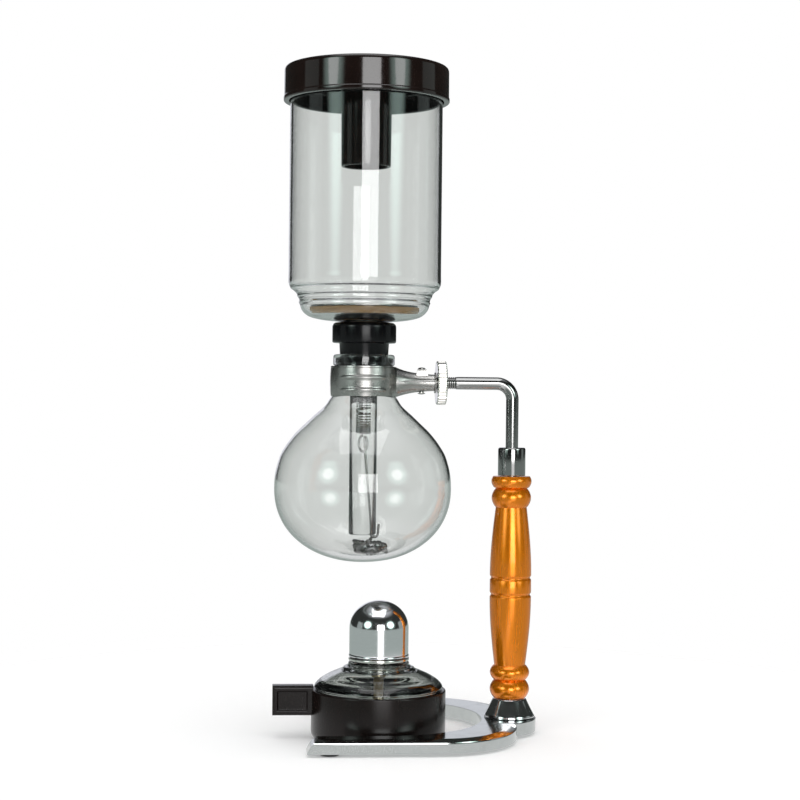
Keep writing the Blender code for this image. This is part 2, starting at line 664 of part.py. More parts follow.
def make_globe():
    """Blow the globe: onion shape, short neck and thick lip."""
    outside = [(NECK_BORE_RADIUS + 0.0010, LIP_TOP), (LIP_RADIUS - 0.0006, LIP_TOP),
               (LIP_RADIUS, LIP_TOP - 0.0006), (LIP_RADIUS, LIP_LOW + 0.0005),
               (LIP_RADIUS - 0.0005, LIP_LOW), (NECK_RADIUS, LIP_LOW), (NECK_RADIUS, NECK_LOW)]
    outside += globe_side(0, 6)
    inside = list(reversed(globe_side(GLOBE_WALL, 6)))
    bore = [(NECK_BORE_RADIUS, NECK_LOW), (NECK_BORE_RADIUS, LIP_TOP - 0.0010)]
    turned("lower_globe", outside + inside + bore, GLASS, glass, 28)


def bowl_side(inset):
    """Return the bowl's side from the foot of its straight wall down to the stopper."""
    z = STOPPER_TOP
    radius = BOWL_RADIUS - inset
    floor = STOPPER_FLANGE_RADIUS - 0.5 * inset
    return [(radius, z + BOWL_SHOULDER_HEIGHT), (radius - 0.0011, z + 0.0173 + 0.2 * inset),
            (radius - 0.0036, z + 0.0148 + 0.5 * inset), (radius - 0.0052, z + 0.0116 + 0.1 * inset),
            (radius - 0.0058, z + 0.0084 + 0.1 * inset), (radius - 0.0066, z + 0.0062 + 0.3 * inset),
            (radius - 0.0083, z + 0.0042 + 0.5 * inset), (radius - 0.0104, z + 0.0025 + 0.7 * inset),
            (radius - 0.0156, z + 0.0012 + inset), (floor, z + 0.0005 + inset)]


def make_bowl():
    """Make the upper glass: a straight bowl with a stepped foot, drawn down into a long stem."""
    outside = [(BOWL_RADIUS - 0.0004, BOWL_RIM), (BOWL_RADIUS, BOWL_RIM - 0.0005)]
    outside += bowl_side(0)
    outside += [(STEM_RADIUS + 0.0025, STOPPER_TOP - 0.0006), (STEM_RADIUS, STOPPER_TOP - 0.0032),
                (STEM_RADIUS, STEM_TIP)]
    inside = [(STEM_BORE_RADIUS, STEM_TIP), (STEM_BORE_RADIUS, STOPPER_TOP - 0.0020),
              (STEM_BORE_RADIUS + 0.0025, STOPPER_TOP + 0.0012)]
    inside += list(reversed(bowl_side(BOWL_WALL)))
    inside += [(BOWL_RADIUS - BOWL_WALL, BOWL_RIM - 0.0005), (BOWL_RADIUS - BOWL_WALL + 0.0004, BOWL_RIM)]
    turned("upper_bowl", outside + inside, GLASS, glass, 28)


def make_stopper():
    """Mould the rubber stopper: a flange, and a tapered plug that seals the neck of the globe."""
    outer, bore = STOPPER_FLANGE_RADIUS, STEM_RADIUS + GAP
    top = STOPPER_TOP - GAP
    plug = STOPPER_NECK_RADIUS
    turned("rubber_stopper", [(outer - 0.0018, top), (outer, top - 0.0014),
                              (outer, STOPPER_FLANGE_LOW + 0.0006),
                              (outer - 0.0006, STOPPER_FLANGE_LOW), (plug + 0.0007, STOPPER_FLANGE_LOW),
                              (plug, LIP_TOP), (plug - STOPPER_TAPER, STOPPER_LOW), (bore, STOPPER_LOW),
                              (bore, top - 0.0038), (bore + 0.0028, top - 0.0008)],
           RUBBER, glass, 28)


def perforated(name, low, tilt):
    """Make one round filter plate with a ring of holes."""
    plate = turned(name, ring(FILTER_RADIUS, STUD_BORE_RADIUS, low, low + PLATE_THICKNESS),
                   STEEL, glass, 28)
    for i in range(PLATE_HOLES):
        angle = 2 * pi * (i + tilt) / PLATE_HOLES
        spot = (GLASS_X + 0.6 * FILTER_RADIUS * cos(angle), 0.6 * FILTER_RADIUS * sin(angle))
        combine(plate, "DIFFERENCE", cylinder(f"{name}_hole_{i}", PLATE_HOLE_RADIUS,
                                              low - GAP, low + PLATE_THICKNESS + GAP, 6, spot, tools))


def make_filter():
    """Make the cloth filter between its two plates, on the stud that draws it down."""
    perforated("filter_lower_plate", PLATE_LOW, 0.3)
    turned("filter_cloth", ring(FILTER_RADIUS + 0.0004, STUD_BORE_RADIUS, CLOTH_LOW, UPPER_PLATE_LOW - GAP),
           CLOTH, glass, 28)
    perforated("filter_upper_plate", UPPER_PLATE_LOW, 0.7)
    nut = 3 * STUD_RADIUS
    turned("filter_stud", [(0, FILTER_TOP + 0.0018), (nut, FILTER_TOP + 0.0014), (nut, FILTER_TOP + GAP),
                           (STUD_RADIUS, FILTER_TOP + GAP), (STUD_RADIUS, SPRING_TOP + GAP),
                           (0, SPRING_TOP + GAP)], STEEL, glass, 12)


def make_spring():
    """Wind the coil spring that keeps the filter down on its seat."""
    per_turn = 8
    total = SPRING_TURNS * per_turn
    points = []
    for i in range(total + 1):
        angle = 2 * pi * i / per_turn
        height = SPRING_LOW + SPRING_WIRE_RADIUS + (SPRING_LENGTH - 2 * SPRING_WIRE_RADIUS) * i / total
        points.append((SPRING_RADIUS * cos(angle), SPRING_RADIUS * sin(angle), height))
    round_wire("filter_spring", points, SPRING_WIRE_RADIUS, STEEL, glass, 1)


def make_hook():
    """Bend the wire that hangs from the spring and hooks under the rim of the stem."""
    wall = (STEM_RADIUS + STEM_BORE_RADIUS) / 2
    inner = STEM_BORE_RADIUS - HOOK_WIRE_RADIUS - 0.0004
    swing = wall - inner
    top = SPRING_LOW - HOOK_WIRE_RADIUS - GAP
    eye = 0.0040
    loop = [(eye * 0.55 * sin(a), 0, top - eye - eye * cos(a)) for a in
            [pi + 2 * pi * i / 12 * 0.9 for i in range(13)]]
    under = [(wall + swing * cos(a), 0, STEM_TIP + 0.0004 + swing * sin(a)) for a in
             [pi + pi * i / 6 for i in range(7)]]
    route = loop + [(0.0008, 0, loop[-1][2] - 0.0040), (inner, 0, STEM_TIP + 0.0080)] + under
    route.append((under[-1][0] + 0.0004, 0, STEM_TIP + 0.0052))
    round_wire("hook_wire", route, HOOK_WIRE_RADIUS, STEEL, glass, 1)


def make_chain():
    """String the ball chain: down from the hook, then round in a small heap on the globe's floor."""
    floor = GLOBE_FLOOR + 0.0016 + BEAD_RADIUS
    pitch = 2 * BEAD_RADIUS + 0.0003
    stops = []
    angle, radius = 0.0, HEAP_RADIUS
    while len(stops) < BEAD_COUNT and radius > 1.3 * BEAD_RADIUS:
        stops.append((HEAP_OFFSET + radius * cos(angle), radius * sin(angle), floor))
        angle += pitch / radius
        radius -= (2 * BEAD_RADIUS + 0.0005) * pitch / radius / (2 * pi)
    hang = stops[0]
    count = int((STEM_TIP - 0.0036 - floor) / pitch)
    drop = [(hang[0] - 0.0004 * i, 0, floor + pitch * i) for i in range(count, 0, -1)]
    beads = drop + stops
    share = BEAD_LINK_RADIUS / BEAD_RADIUS
    points = []
    for bead, following in zip(beads, beads[1:] + [None]):
        if not following:
            break
        step = [b - a for a, b in zip(bead, following)]
        for along, width in ((0.0, 1.0), (0.28, 0.80), (0.50, share), (0.72, 0.80)):
            points.append((*[a + s * along for a, s in zip(bead, step)], width))
    points.append((*beads[-1], 1.0))
    first, last = points[0], points[-1]
    points.insert(0, (first[0], first[1], first[2] + 0.8 * BEAD_RADIUS, 0.55))
    spin = (beads[-1][0] - beads[-2][0], beads[-1][1] - beads[-2][1])
    length = hypot(*spin)
    points.append((last[0] + 0.8 * BEAD_RADIUS * spin[0] / length,
                   last[1] + 0.8 * BEAD_RADIUS * spin[1] / length, last[2], 0.55))
    round_wire("bead_chain", points, BEAD_RADIUS, STEEL, glass, 1)


def make_lid():
    """Mould the lid: a cap over the rim, with a hollow socket that hangs in the bowl."""
    skirt = BOWL_RADIUS + LID_ROOM
    low = LID_UNDERSIDE - LID_SKIRT_HEIGHT
    lip = BOWL_RADIUS - BOWL_WALL - LID_ROOM
    under = LID_UNDERSIDE
    bore = SOCKET_RADIUS - SOCKET_WALL
    edge = 0.0020
    profile = [(0, LID_TOP)] + arc((LID_RADIUS - edge, LID_TOP - edge), edge, 90, 0, 4)
    profile += [(LID_RADIUS, low + 0.0008), (LID_RADIUS - 0.0008, low), (skirt, low), (skirt, under),
                (lip, under), (lip, under - LID_LIP_HEIGHT), (lip - LID_LIP_WIDTH, under - LID_LIP_HEIGHT),
                (lip - LID_LIP_WIDTH, under), (SOCKET_RADIUS, under), (SOCKET_RADIUS, under - SOCKET_DEPTH),
                (bore, under - SOCKET_DEPTH), (bore, under), (0, under)]
    turned("lid", profile, DARK_PLASTIC, glass, 28)


# ---------------------------------------------------------------- spirit burner
def make_holder():
    """Mould the burner's holder with its flat handle, which has a sunk panel on each side."""
    corner = arc((HOLDER_RADIUS - HOLDER_EDGE, HOLDER_EDGE), HOLDER_EDGE, 0, -90, 4)
    profile = [(HOLDER_RADIUS - 0.0005, HOLDER_HEIGHT), (HOLDER_RADIUS, HOLDER_HEIGHT - 0.0006)] + corner
    profile += [(0, 0)]
    inside = [(0, HOLDER_FLOOR), (HOLDER_INNER_RADIUS, HOLDER_FLOOR), (HOLDER_INNER_RADIUS, HOLDER_HEIGHT)]
    holder = turned("burner_holder", profile + inside, DARK_PLASTIC, burner, 28)
    root = -HOLDER_INNER_RADIUS - 0.6 * HOLDER_WALL
    end = -HOLDER_RADIUS - TAB_LENGTH
    half = TAB_WIDTH / 2
    tab = box("holder_tab", (end, -half, TAB_LOW), (root, half, TAB_LOW + TAB_HEIGHT), tools, burner)
    soften = tab.modifiers.new("round", "BEVEL")
    soften.width = 0.0008
    soften.segments = 1
    for side in (-1, 1):
        deep, shallow = side * (half - TAB_PANEL_DEPTH), side * (half + 0.001)
        panel = box(f"holder_panel_{side}",
                    (end + TAB_PANEL_BORDER, min(deep, shallow), TAB_LOW + TAB_PANEL_BORDER),
                    (-HOLDER_RADIUS - TAB_PANEL_BORDER, max(deep, shallow),
                     TAB_LOW + TAB_HEIGHT - TAB_PANEL_BORDER), tools, burner)
        combine(tab, "DIFFERENCE", panel)
    combine(holder, "UNION", tab)


def reservoir_side(inset):
    """Return the reservoir's side from its neck down to its floor."""
    radius, neck, rim = RESERVOIR_RADIUS - inset, RESERVOIR_NECK_RADIUS - inset, RESERVOIR_TOP
    shoulder = HOLDER_HEIGHT + 0.0006
    return [(neck, rim - 0.0024), (neck + 0.0037, rim - 0.0032 - 0.6 * inset),
            (neck + 0.0090, rim - 0.0049 - inset),
            (radius - 0.0035, rim - 0.0074 - 0.8 * inset), (radius - 0.0008, rim - 0.0105 - 0.5 * inset),
            (radius, shoulder), (radius, RESERVOIR_LOW + 0.0030), (radius - 0.0022, RESERVOIR_LOW + inset)]


def make_reservoir():
    """Make the squat glass bottle that holds the spirit."""
    outside = [(RESERVOIR_NECK_RADIUS, RESERVOIR_TOP)] + reservoir_side(0) + [(0, RESERVOIR_LOW)]
    inside = [(0, RESERVOIR_LOW + RESERVOIR_WALL)] + list(reversed(reservoir_side(RESERVOIR_WALL)))
    turned("burner_glass", outside + inside + [(RESERVOIR_NECK_RADIUS - RESERVOIR_WALL, RESERVOIR_TOP)],
           GLASS, burner, 24)


def make_wick():
    """Make the collar that closes the bottle, the wick's tube in it, and the wick."""
    plug = RESERVOIR_NECK_RADIUS - RESERVOIR_WALL - GAP
    tube, bore = WICK_RADIUS + GAP + WICK_TUBE_WALL, WICK_RADIUS + GAP
    high = COLLAR_LOW + COLLAR_THICKNESS
    turned("wick_collar", [(COLLAR_RADIUS - 0.0004, high), (COLLAR_RADIUS, high - 0.0005),
                           (COLLAR_RADIUS, COLLAR_LOW),
                           (plug, COLLAR_LOW), (plug, COLLAR_LOW - COLLAR_PLUG_DEPTH),
                           (tube + GAP, COLLAR_LOW - COLLAR_PLUG_DEPTH), (tube + GAP, high)],
           NICKEL, burner, 24)
    turned("wick_tube", ring(tube, bore, COLLAR_LOW - COLLAR_PLUG_DEPTH - 0.0030, high + WICK_TUBE_HEIGHT),
           BRASS, burner, 16)
    tip = high + WICK_TUBE_HEIGHT + WICK_SHOWN
    low = RESERVOIR_LOW + RESERVOIR_WALL + 0.0020
    turned("wick", [(0, tip), (WICK_RADIUS - 0.0004, tip), (WICK_RADIUS, tip - 0.0006),
                    (WICK_RADIUS, low), (0, low)],
           COTTON, burner, 14)


def make_cap():
    """Draw the snuffer cap: a dome on a straight wall with a rolled rim."""
    inner = CAP_RADIUS - CAP_WALL
    wall_top = CAP_LOW + CAP_STRAIGHT
    outside = [(x, z) for x, z in reversed(arc((0, wall_top), (CAP_RADIUS, CAP_DOME), 0, 90, 6))]
    outside[0] = (0, CAP_TOP)
    outside += [(CAP_RADIUS, CAP_LOW + 0.0014), (CAP_RADIUS + CAP_RIM, CAP_LOW + 0.0007),
                (CAP_RADIUS, CAP_LOW)]
    inside = [(inner, CAP_LOW)] + arc((0, wall_top), (inner, CAP_DOME - CAP_WALL), 0, 90, 6)
    inside[-1] = (0, CAP_TOP - CAP_WALL)
    turned("snuffer_cap", outside + inside, CHROME, burner, 24)


# ---------------------------------------------------------------- assembly
clear_scene()
parts = new_collection("siphon_coffee_maker")
tools = new_collection("cutters")

CHROME = finish("chrome", (0.86, 0.86, 0.88), 0.08, 1.0)
STEEL = finish("steel", (0.72, 0.72, 0.71), 0.22, 1.0)
NICKEL = finish("nickel", (0.88, 0.86, 0.82), 0.20, 1.0)
BRASS = finish("brass", (0.80, 0.62, 0.30), 0.30, 1.0)
LACQUER = finish("lacquer", (0.72, 0.25, 0.02), 0.12)
RUBBER = finish("rubber", (0.02, 0.02, 0.02), 0.45)
DARK_PLASTIC = finish("dark_plastic", (0.035, 0.015, 0.012), 0.12)
GLASS = finish("glass", (0.93, 0.96, 0.95), 0.02, 0.0, 1.0)
CLOTH = finish("cloth", (0.45, 0.28, 0.12), 0.9)
COTTON = finish("cotton", (0.85, 0.82, 0.74), 0.9)

stand = axis_at("stand", (0, 0, 0))
glass = axis_at("glass_axis", (GLASS_X, 0, 0), stand)
burner = axis_at("burner_axis", (GLASS_X + BURNER_X, BURNER_Y, 0), stand)

make_base()
make_pads()
make_post()
make_rod()
make_clamp()
make_globe()
make_bowl()
make_stopper()
make_filter()
make_spring()
make_hook()
make_chain()
make_lid()
make_holder()
make_reservoir()
make_wick()
make_cap()
bpy.context.view_layer.update()
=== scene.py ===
"""Siphon coffee maker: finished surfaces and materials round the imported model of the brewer.

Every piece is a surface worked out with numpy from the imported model's own boxes, in metres, +Z up.
"""

import json
import logging
import math
from dataclasses import dataclass, field
from enum import Enum
from typing import Callable, Sequence

import bpy
import numpy as np
from mathutils import Matrix, Vector


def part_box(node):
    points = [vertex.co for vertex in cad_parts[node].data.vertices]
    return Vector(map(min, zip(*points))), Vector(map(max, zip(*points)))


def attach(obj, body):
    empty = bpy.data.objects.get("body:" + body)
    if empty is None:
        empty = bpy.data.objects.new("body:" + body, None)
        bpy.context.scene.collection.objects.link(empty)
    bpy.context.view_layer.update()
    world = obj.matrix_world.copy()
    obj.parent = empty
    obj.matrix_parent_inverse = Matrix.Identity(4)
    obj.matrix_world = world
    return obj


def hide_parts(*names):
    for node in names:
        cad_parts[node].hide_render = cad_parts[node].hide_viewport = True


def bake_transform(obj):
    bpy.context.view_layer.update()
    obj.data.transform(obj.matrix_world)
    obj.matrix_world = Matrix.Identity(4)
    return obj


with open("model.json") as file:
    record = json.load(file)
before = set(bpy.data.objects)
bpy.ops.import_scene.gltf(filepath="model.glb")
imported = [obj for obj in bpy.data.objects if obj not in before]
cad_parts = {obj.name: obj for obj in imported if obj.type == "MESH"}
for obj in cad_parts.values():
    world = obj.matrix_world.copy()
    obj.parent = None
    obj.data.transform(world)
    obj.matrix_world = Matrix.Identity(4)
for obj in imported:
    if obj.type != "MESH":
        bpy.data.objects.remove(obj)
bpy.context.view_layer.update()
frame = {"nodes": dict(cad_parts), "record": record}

logging.basicConfig(level=logging.INFO, format="%(message)s")
log = logging.getLogger("siphon")

MM = 0.001
TAU = 2.0 * math.pi


# ---------------------------------------------------------------- places read from the model
@dataclass(frozen=True)
class Place:
    """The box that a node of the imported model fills."""

    node: str
    low: tuple[float, float, float]
    high: tuple[float, float, float]

    @classmethod
    def of(cls, node: str) -> "Place":
        """Return the box of a node."""
        low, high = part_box(node)
        return cls(node, tuple(low), tuple(high))

    @property
    def centre(self) -> tuple[float, float, float]:
        """The middle of the box."""
        return tuple((a + b) / 2 for a, b in zip(self.low, self.high))

    @property
    def radius(self) -> float:
        """Half the box's width along Y, which is a turned piece's radius."""
        return (self.high[1] - self.low[1]) / 2


BODY_OF = {node: body for body, nodes in frame["record"]["behaviour"]["bodies"].items() for node in nodes}


# ---------------------------------------------------------------- surfaces
@dataclass
class Skin:
    """Points and faces of a surface, before they become a mesh."""

    points: np.ndarray
    faces: list[tuple[int, ...]]

    def __add__(self, other: "Skin") -> "Skin":
        """Return both surfaces as one, side by side."""
        start = len(self.points)
        moved = [tuple(i + start for i in face) for face in other.faces]
        return Skin(np.vstack([self.points, other.points]), self.faces + moved)

    def moved(self, offset: Sequence[float]) -> "Skin":
        """Return the surface shifted by an offset."""
        return Skin(self.points + np.asarray(offset, float), self.faces)

    def laid_along_x(self, start: float, height: float) -> "Skin":
        """Return a piece turned about Z as one turned about a level line, from a start at a height."""
        p = self.points
        return Skin(np.stack([p[:, 2] + start, p[:, 1], p[:, 0] + height], 1), self.faces).outward()

    def mirrored(self) -> "Skin":
        """Return the surface mirrored in Y, with its faces turned to point out again."""
        return Skin(self.points * (1, -1, 1), [tuple(reversed(face)) for face in self.faces])

    def volume(self) -> float:
        """Return the signed volume: the sum of a x b . c over the fan triangles, over six."""
        fans = [(f[0], f[i], f[i + 1]) for f in self.faces for i in range(1, len(f) - 1)]
        a, b, c = (self.points[list(column)] for column in zip(*fans))
        return float(np.einsum("ij,ij->", np.cross(a, b), c)) / 6

    def outward(self) -> "Skin":
        """Return the surface with its faces pointing out of the space that it closes."""
        if self.volume() >= 0:
            return self
        return Skin(self.points, [tuple(reversed(face)) for face in self.faces])


def grid_faces(rows: int, columns: int, wrap_rows: bool, wrap_columns: bool) -> list[tuple[int, ...]]:
    """Return the quads of a grid of points, in row order.

    Args:
        rows: number of rows.
        columns: number of points in a row.
        wrap_rows: whether the last row meets the first.
        wrap_columns: whether each row closes on itself.

    Returns:
        The quads, as tuples of point numbers.
    """
    index = np.arange(rows * columns).reshape(rows, columns)
    below = np.roll(index, -1, 0) if wrap_rows else index[1:]
    above = index if wrap_rows else index[:-1]
    right_above = np.roll(above, -1, 1) if wrap_columns else above[:, 1:]
    right_below = np.roll(below, -1, 1) if wrap_columns else below[:, 1:]
    if not wrap_columns:
        above, below = above[:, :-1], below[:, :-1]
    quads = np.stack([above, below, right_below, right_above], -1).reshape(-1, 4)
    return [tuple(quad) for quad in quads.tolist()]


def grid_skin(points: np.ndarray, wrap_rows: bool = False, wrap_columns: bool = False,
              caps: bool = False) -> Skin:
    """Return the surface of a (rows, columns, 3) grid, with flat caps on its first and last rows.

    Args:
        points: (rows, columns, 3) array.
        wrap_rows: whether the last row meets the first.
        wrap_columns: whether each row closes on itself.
        caps: whether flat faces close the first and last rows.

    Returns:
        The surface.
    """
    rows, columns = points.shape[:2]
    faces = grid_faces(rows, columns, wrap_rows, wrap_columns)
    if caps:
        faces.append(tuple(range(columns)))
        faces.append(tuple(reversed(range((rows - 1) * columns, rows * columns))))
    return Skin(points.reshape(-1, 3), faces)


def close_poles(rings: np.ndarray, first: float, last: float) -> Skin:
    """Join a grid of circles, and close each end with a fan to a pole on the axis.

    Args:
        rings: (rows, steps, 3) points.
        first: height of the pole at the first circle.
        last: height of the pole at the last circle.

    Returns:
        The closed surface, facing out.
    """
    rows, steps = rings.shape[:2]
    skin = grid_skin(rings, wrap_columns=True)
    count, end = rows * steps, (rows - 1) * steps
    around = [(i, (i + 1) % steps) for i in range(steps)]
    fans = [(count, a, b) for a, b in around] + [(count + 1, end + b, end + a) for a, b in around]
    points = np.vstack([skin.points, [[0, 0, first], [0, 0, last]]])
    return Skin(points, skin.faces + fans).outward()


Warp = Callable[[np.ndarray, np.ndarray, np.ndarray], tuple[np.ndarray, np.ndarray]]


def lathe(profile: np.ndarray, steps: int = 96, warp: Warp | None = None) -> Skin:
    """Turn a closed profile about Z: each point (r, z) gives the circle (r cos a, r sin a, z).

    Args:
        profile: (count, 2) array of radius and height.  Where it starts and ends on the axis, the
            poles are closed; otherwise its last point joins its first.
        steps: points round a circle.
        warp: optional function of (radius, height, angle) that returns new radii and heights.

    Returns:
        The closed surface, facing out.
    """
    angle = np.arange(steps) * TAU / steps
    radius, height = np.repeat(profile[:, :1], steps, 1), np.repeat(profile[:, 1:], steps, 1)
    on_axis = profile[0, 0] < 1e-9
    turn = np.repeat(angle[None], len(profile), 0)
    if warp:
        radius, height = warp(radius, height, turn)
    points = np.stack([radius * np.cos(turn), radius * np.sin(turn), height], -1)
    if not on_axis:
        return grid_skin(points, wrap_rows=True, wrap_columns=True).outward()
    return close_poles(points[1:-1], profile[0, 1], profile[-1, 1])


def sweep(path: np.ndarray, radius: np.ndarray | float, reference: Sequence[float],
          sides: int = 16, warp: Callable[[np.ndarray, np.ndarray], np.ndarray] | None = None) -> Skin:
    """Carry a circle along a path, its plane across the path's tangent.

    The circle's first axis is reference x tangent and its second is tangent x first axis.

    Args:
        path: (count, 3) points.
        radius: one radius, or one for each point.
        reference: a direction that the path never runs along.
        sides: points round the circle.
        warp: optional function of (distance along the path, angle) that returns a radius factor.

    Returns:
        The closed tube, facing out.
    """
    tangent = np.gradient(path, axis=0)
    tangent /= np.linalg.norm(tangent, axis=1, keepdims=True)
    first = np.cross(np.asarray(reference, float), tangent)
    first /= np.linalg.norm(first, axis=1, keepdims=True)
    second = np.cross(tangent, first)
    angle = np.arange(sides) * TAU / sides
    reach = np.broadcast_to(np.asarray(radius, float), (len(path),))[:, None]
    if warp:
        step = np.linalg.norm(np.diff(path, axis=0), axis=1)
        along = np.concatenate([[0], np.cumsum(step)])
        reach = reach * warp(along[:, None], angle[None])
    circle = first[:, None] * np.cos(angle)[None, :, None] + second[:, None] * np.sin(angle)[None, :, None]
    points = path[:, None] + circle * np.broadcast_to(reach, (len(path), sides))[..., None]
    return grid_skin(points, wrap_columns=True, caps=True).outward()


def two_sided(front: np.ndarray, back: np.ndarray) -> Skin:
    """Close two grids of points against each other, all round their edges.

    Args:
        front: (rows, columns, 3) points of one side.
        back: the other side's points, in the same order.

    Returns:
        The closed surface, facing out.
    """
    rows, columns = front.shape[:2]
    loop = np.concatenate([front, back[:, ::-1]], 1)
    faces = grid_faces(rows, 2 * columns, False, True)
    for row, flip in ((0, False), (rows - 1, True)):
        start = row * 2 * columns
        for i in range(columns - 1):
            quad = (start + i, start + i + 1, start + 2 * columns - 2 - i, start + 2 * columns - 1 - i)
            faces.append(tuple(reversed(quad)) if flip else quad)
    return Skin(loop.reshape(-1, 3), faces).outward()


def sheet_skin(points: np.ndarray, thickness: float) -> Skin:
    """Give a grid of points a wall: half of it each way along the surface's own normals.

    Args:
        points: (rows, columns, 3) middle surface.
        thickness: the wall.

    Returns:
        The closed sheet, facing out.
    """
    across, along = np.gradient(points, axis=0), np.gradient(points, axis=1)
    normal = np.cross(across, along)
    normal /= np.maximum(np.linalg.norm(normal, axis=-1, keepdims=True), 1e-12)
    outer, inner = points + normal * thickness / 2, points - normal * thickness / 2
    return two_sided(outer, inner)


def flow(points: Sequence[Sequence[float]], per: int = 8) -> np.ndarray:
    """Return a smooth curve through points: the Catmull-Rom cubic, with per samples a span.

    Args:
        points: what the curve goes through.
        per: samples between two points.

    Returns:
        The curve's points.
    """
    knots = np.asarray(points, float)
    padded = np.vstack([2 * knots[0] - knots[1], knots, 2 * knots[-1] - knots[-2]])
    t = np.arange(per)[:, None] / per
    spans = []
    for a, b, c, d in zip(padded, padded[1:], padded[2:], padded[3:]):
        spans.append(0.5 * (2 * b + (c - a) * t + (2 * a - 5 * b + 4 * c - d) * t ** 2
                            + (3 * b - a - 3 * c + d) * t ** 3))
    return np.vstack(spans + [knots[-1:]])


def soft_step(value: np.ndarray, low: float, high: float) -> np.ndarray:
    """Return 0 below low, 1 above high and the cubic 3t^2 - 2t^3 between."""
    t = np.clip((value - low) / (high - low), 0, 1)
    return t * t * (3 - 2 * t)


def inward(line: np.ndarray, distance: float) -> np.ndarray:
    """Return a line of (radius, height) moved to the left of its own direction by a distance."""
    way = np.gradient(line, axis=0)
    way /= np.linalg.norm(way, axis=1, keepdims=True)
    return line + distance * np.stack([way[:, 1], -way[:, 0]], 1)


class Outline:
    """A profile of a turned piece, drawn point by point as (radius, height)."""

    def __init__(self) -> None:
        """Start with no points."""
        self.corners: list[tuple[float, float, float]] = []

    def to(self, radius: float, height: float, round_by: float = 0.0) -> "Outline":
        """Add a corner, rounded by a distance measured back along both of its sides."""
        self.corners.append((radius, height, round_by))
        return self

    def line(self) -> np.ndarray:
        """Return the drawn line: each rounded corner becomes a quadratic curve between its sides.

        Returns:
            (count, 2) array of radius and height.
        """
        out: list[tuple[float, float]] = []
        count = len(self.corners)
        for i, (r, z, bend) in enumerate(self.corners):
            here = np.array([r, z])
            if not bend:
                out.append((r, z))
                continue
            ends = []
            for j in ((i - 1) % count, (i + 1) % count):
                side = np.array(self.corners[j][:2]) - here
                length = max(float(np.linalg.norm(side)), 1e-9)
                ends.append(here + side * min(bend, 0.49 * length) / length)
            for t in np.linspace(0, 1, 6):
                out.append(tuple((1 - t) ** 2 * ends[0] + 2 * t * (1 - t) * here + t * t * ends[1]))
        return np.array(out)


def make_piece(name: str, skin: Skin, finish: "Finish", node: str,
               crease: float = 32.0) -> bpy.types.Object:
    """Put a surface into the scene as a piece that stands for a node of the model.

    Args:
        name: the piece's name.
        skin: its surface, in place.
        finish: what it is made of.
        node: the node that it replaces, and whose body it rides on.
        crease: edges sharper than this many degrees stay sharp.

    Returns:
        The piece.
    """
    mesh = bpy.data.meshes.new(name)
    mesh.from_pydata(skin.points.tolist(), [], skin.faces)
    mesh.validate()
    mesh.shade_smooth()
    mesh.set_sharp_from_angle(angle=math.radians(crease))
    piece = bpy.data.objects.new(name, mesh)
    bpy.context.scene.collection.objects.link(piece)
    mesh.materials.append(finish.material())
    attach(piece, BODY_OF[node])
    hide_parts(node)
    log.info("%-22s %6d faces, for %s", name, len(skin.faces), node)
    return piece


# ---------------------------------------------------------------- materials
class Link:
    """An output socket with Python's operators, each of which adds its Math node."""

    def __init__(self, paint: "Paint", socket: bpy.types.NodeSocket) -> None:
        """Wrap a socket of a material that is being painted."""
        self.paint, self.socket = paint, socket

    def _with(self, operation: str, *values: "Link | float") -> "Link":
        """Return the result of a Math node."""
        return self.paint.node("ShaderNodeMath", {"operation": operation}, dict(enumerate(values)))

    def __add__(self, other: "Link | float") -> "Link":
        """Return the sum."""
        return self._with("ADD", self, other)

    __radd__ = __add__

    def __sub__(self, other: "Link | float") -> "Link":
        """Return the difference."""
        return self._with("SUBTRACT", self, other)

    def __rsub__(self, other: float) -> "Link":
        """Return a number less this."""
        return self._with("SUBTRACT", other, self)

    def __mul__(self, other: "Link | float") -> "Link":
        """Return the product."""
        return self._with("MULTIPLY", self, other)

    __rmul__ = __mul__

    def __pow__(self, other: float) -> "Link":
        """Return the power."""
        return self._with("POWER", self, other)

    def sine(self) -> "Link":
        """Return the sine."""
        return self._with("SINE", self)

    def size(self) -> "Link":
        """Return the value without its sign."""
        return self._with("ABSOLUTE", self)

    def angle_to(self, other: "Link") -> "Link":
        """Return the angle of the point whose Y is this and whose X is other."""
        return self._with("ARCTAN2", self, other)

    def between(self, low: float, high: float) -> "Link":
        """Return a smooth step from 0 at low to 1 at high."""
        return self.paint.node("ShaderNodeMapRange", {"interpolation_type": "SMOOTHSTEP"},
                               {0: self, 1: low, 2: high, 3: 0.0, 4: 1.0})


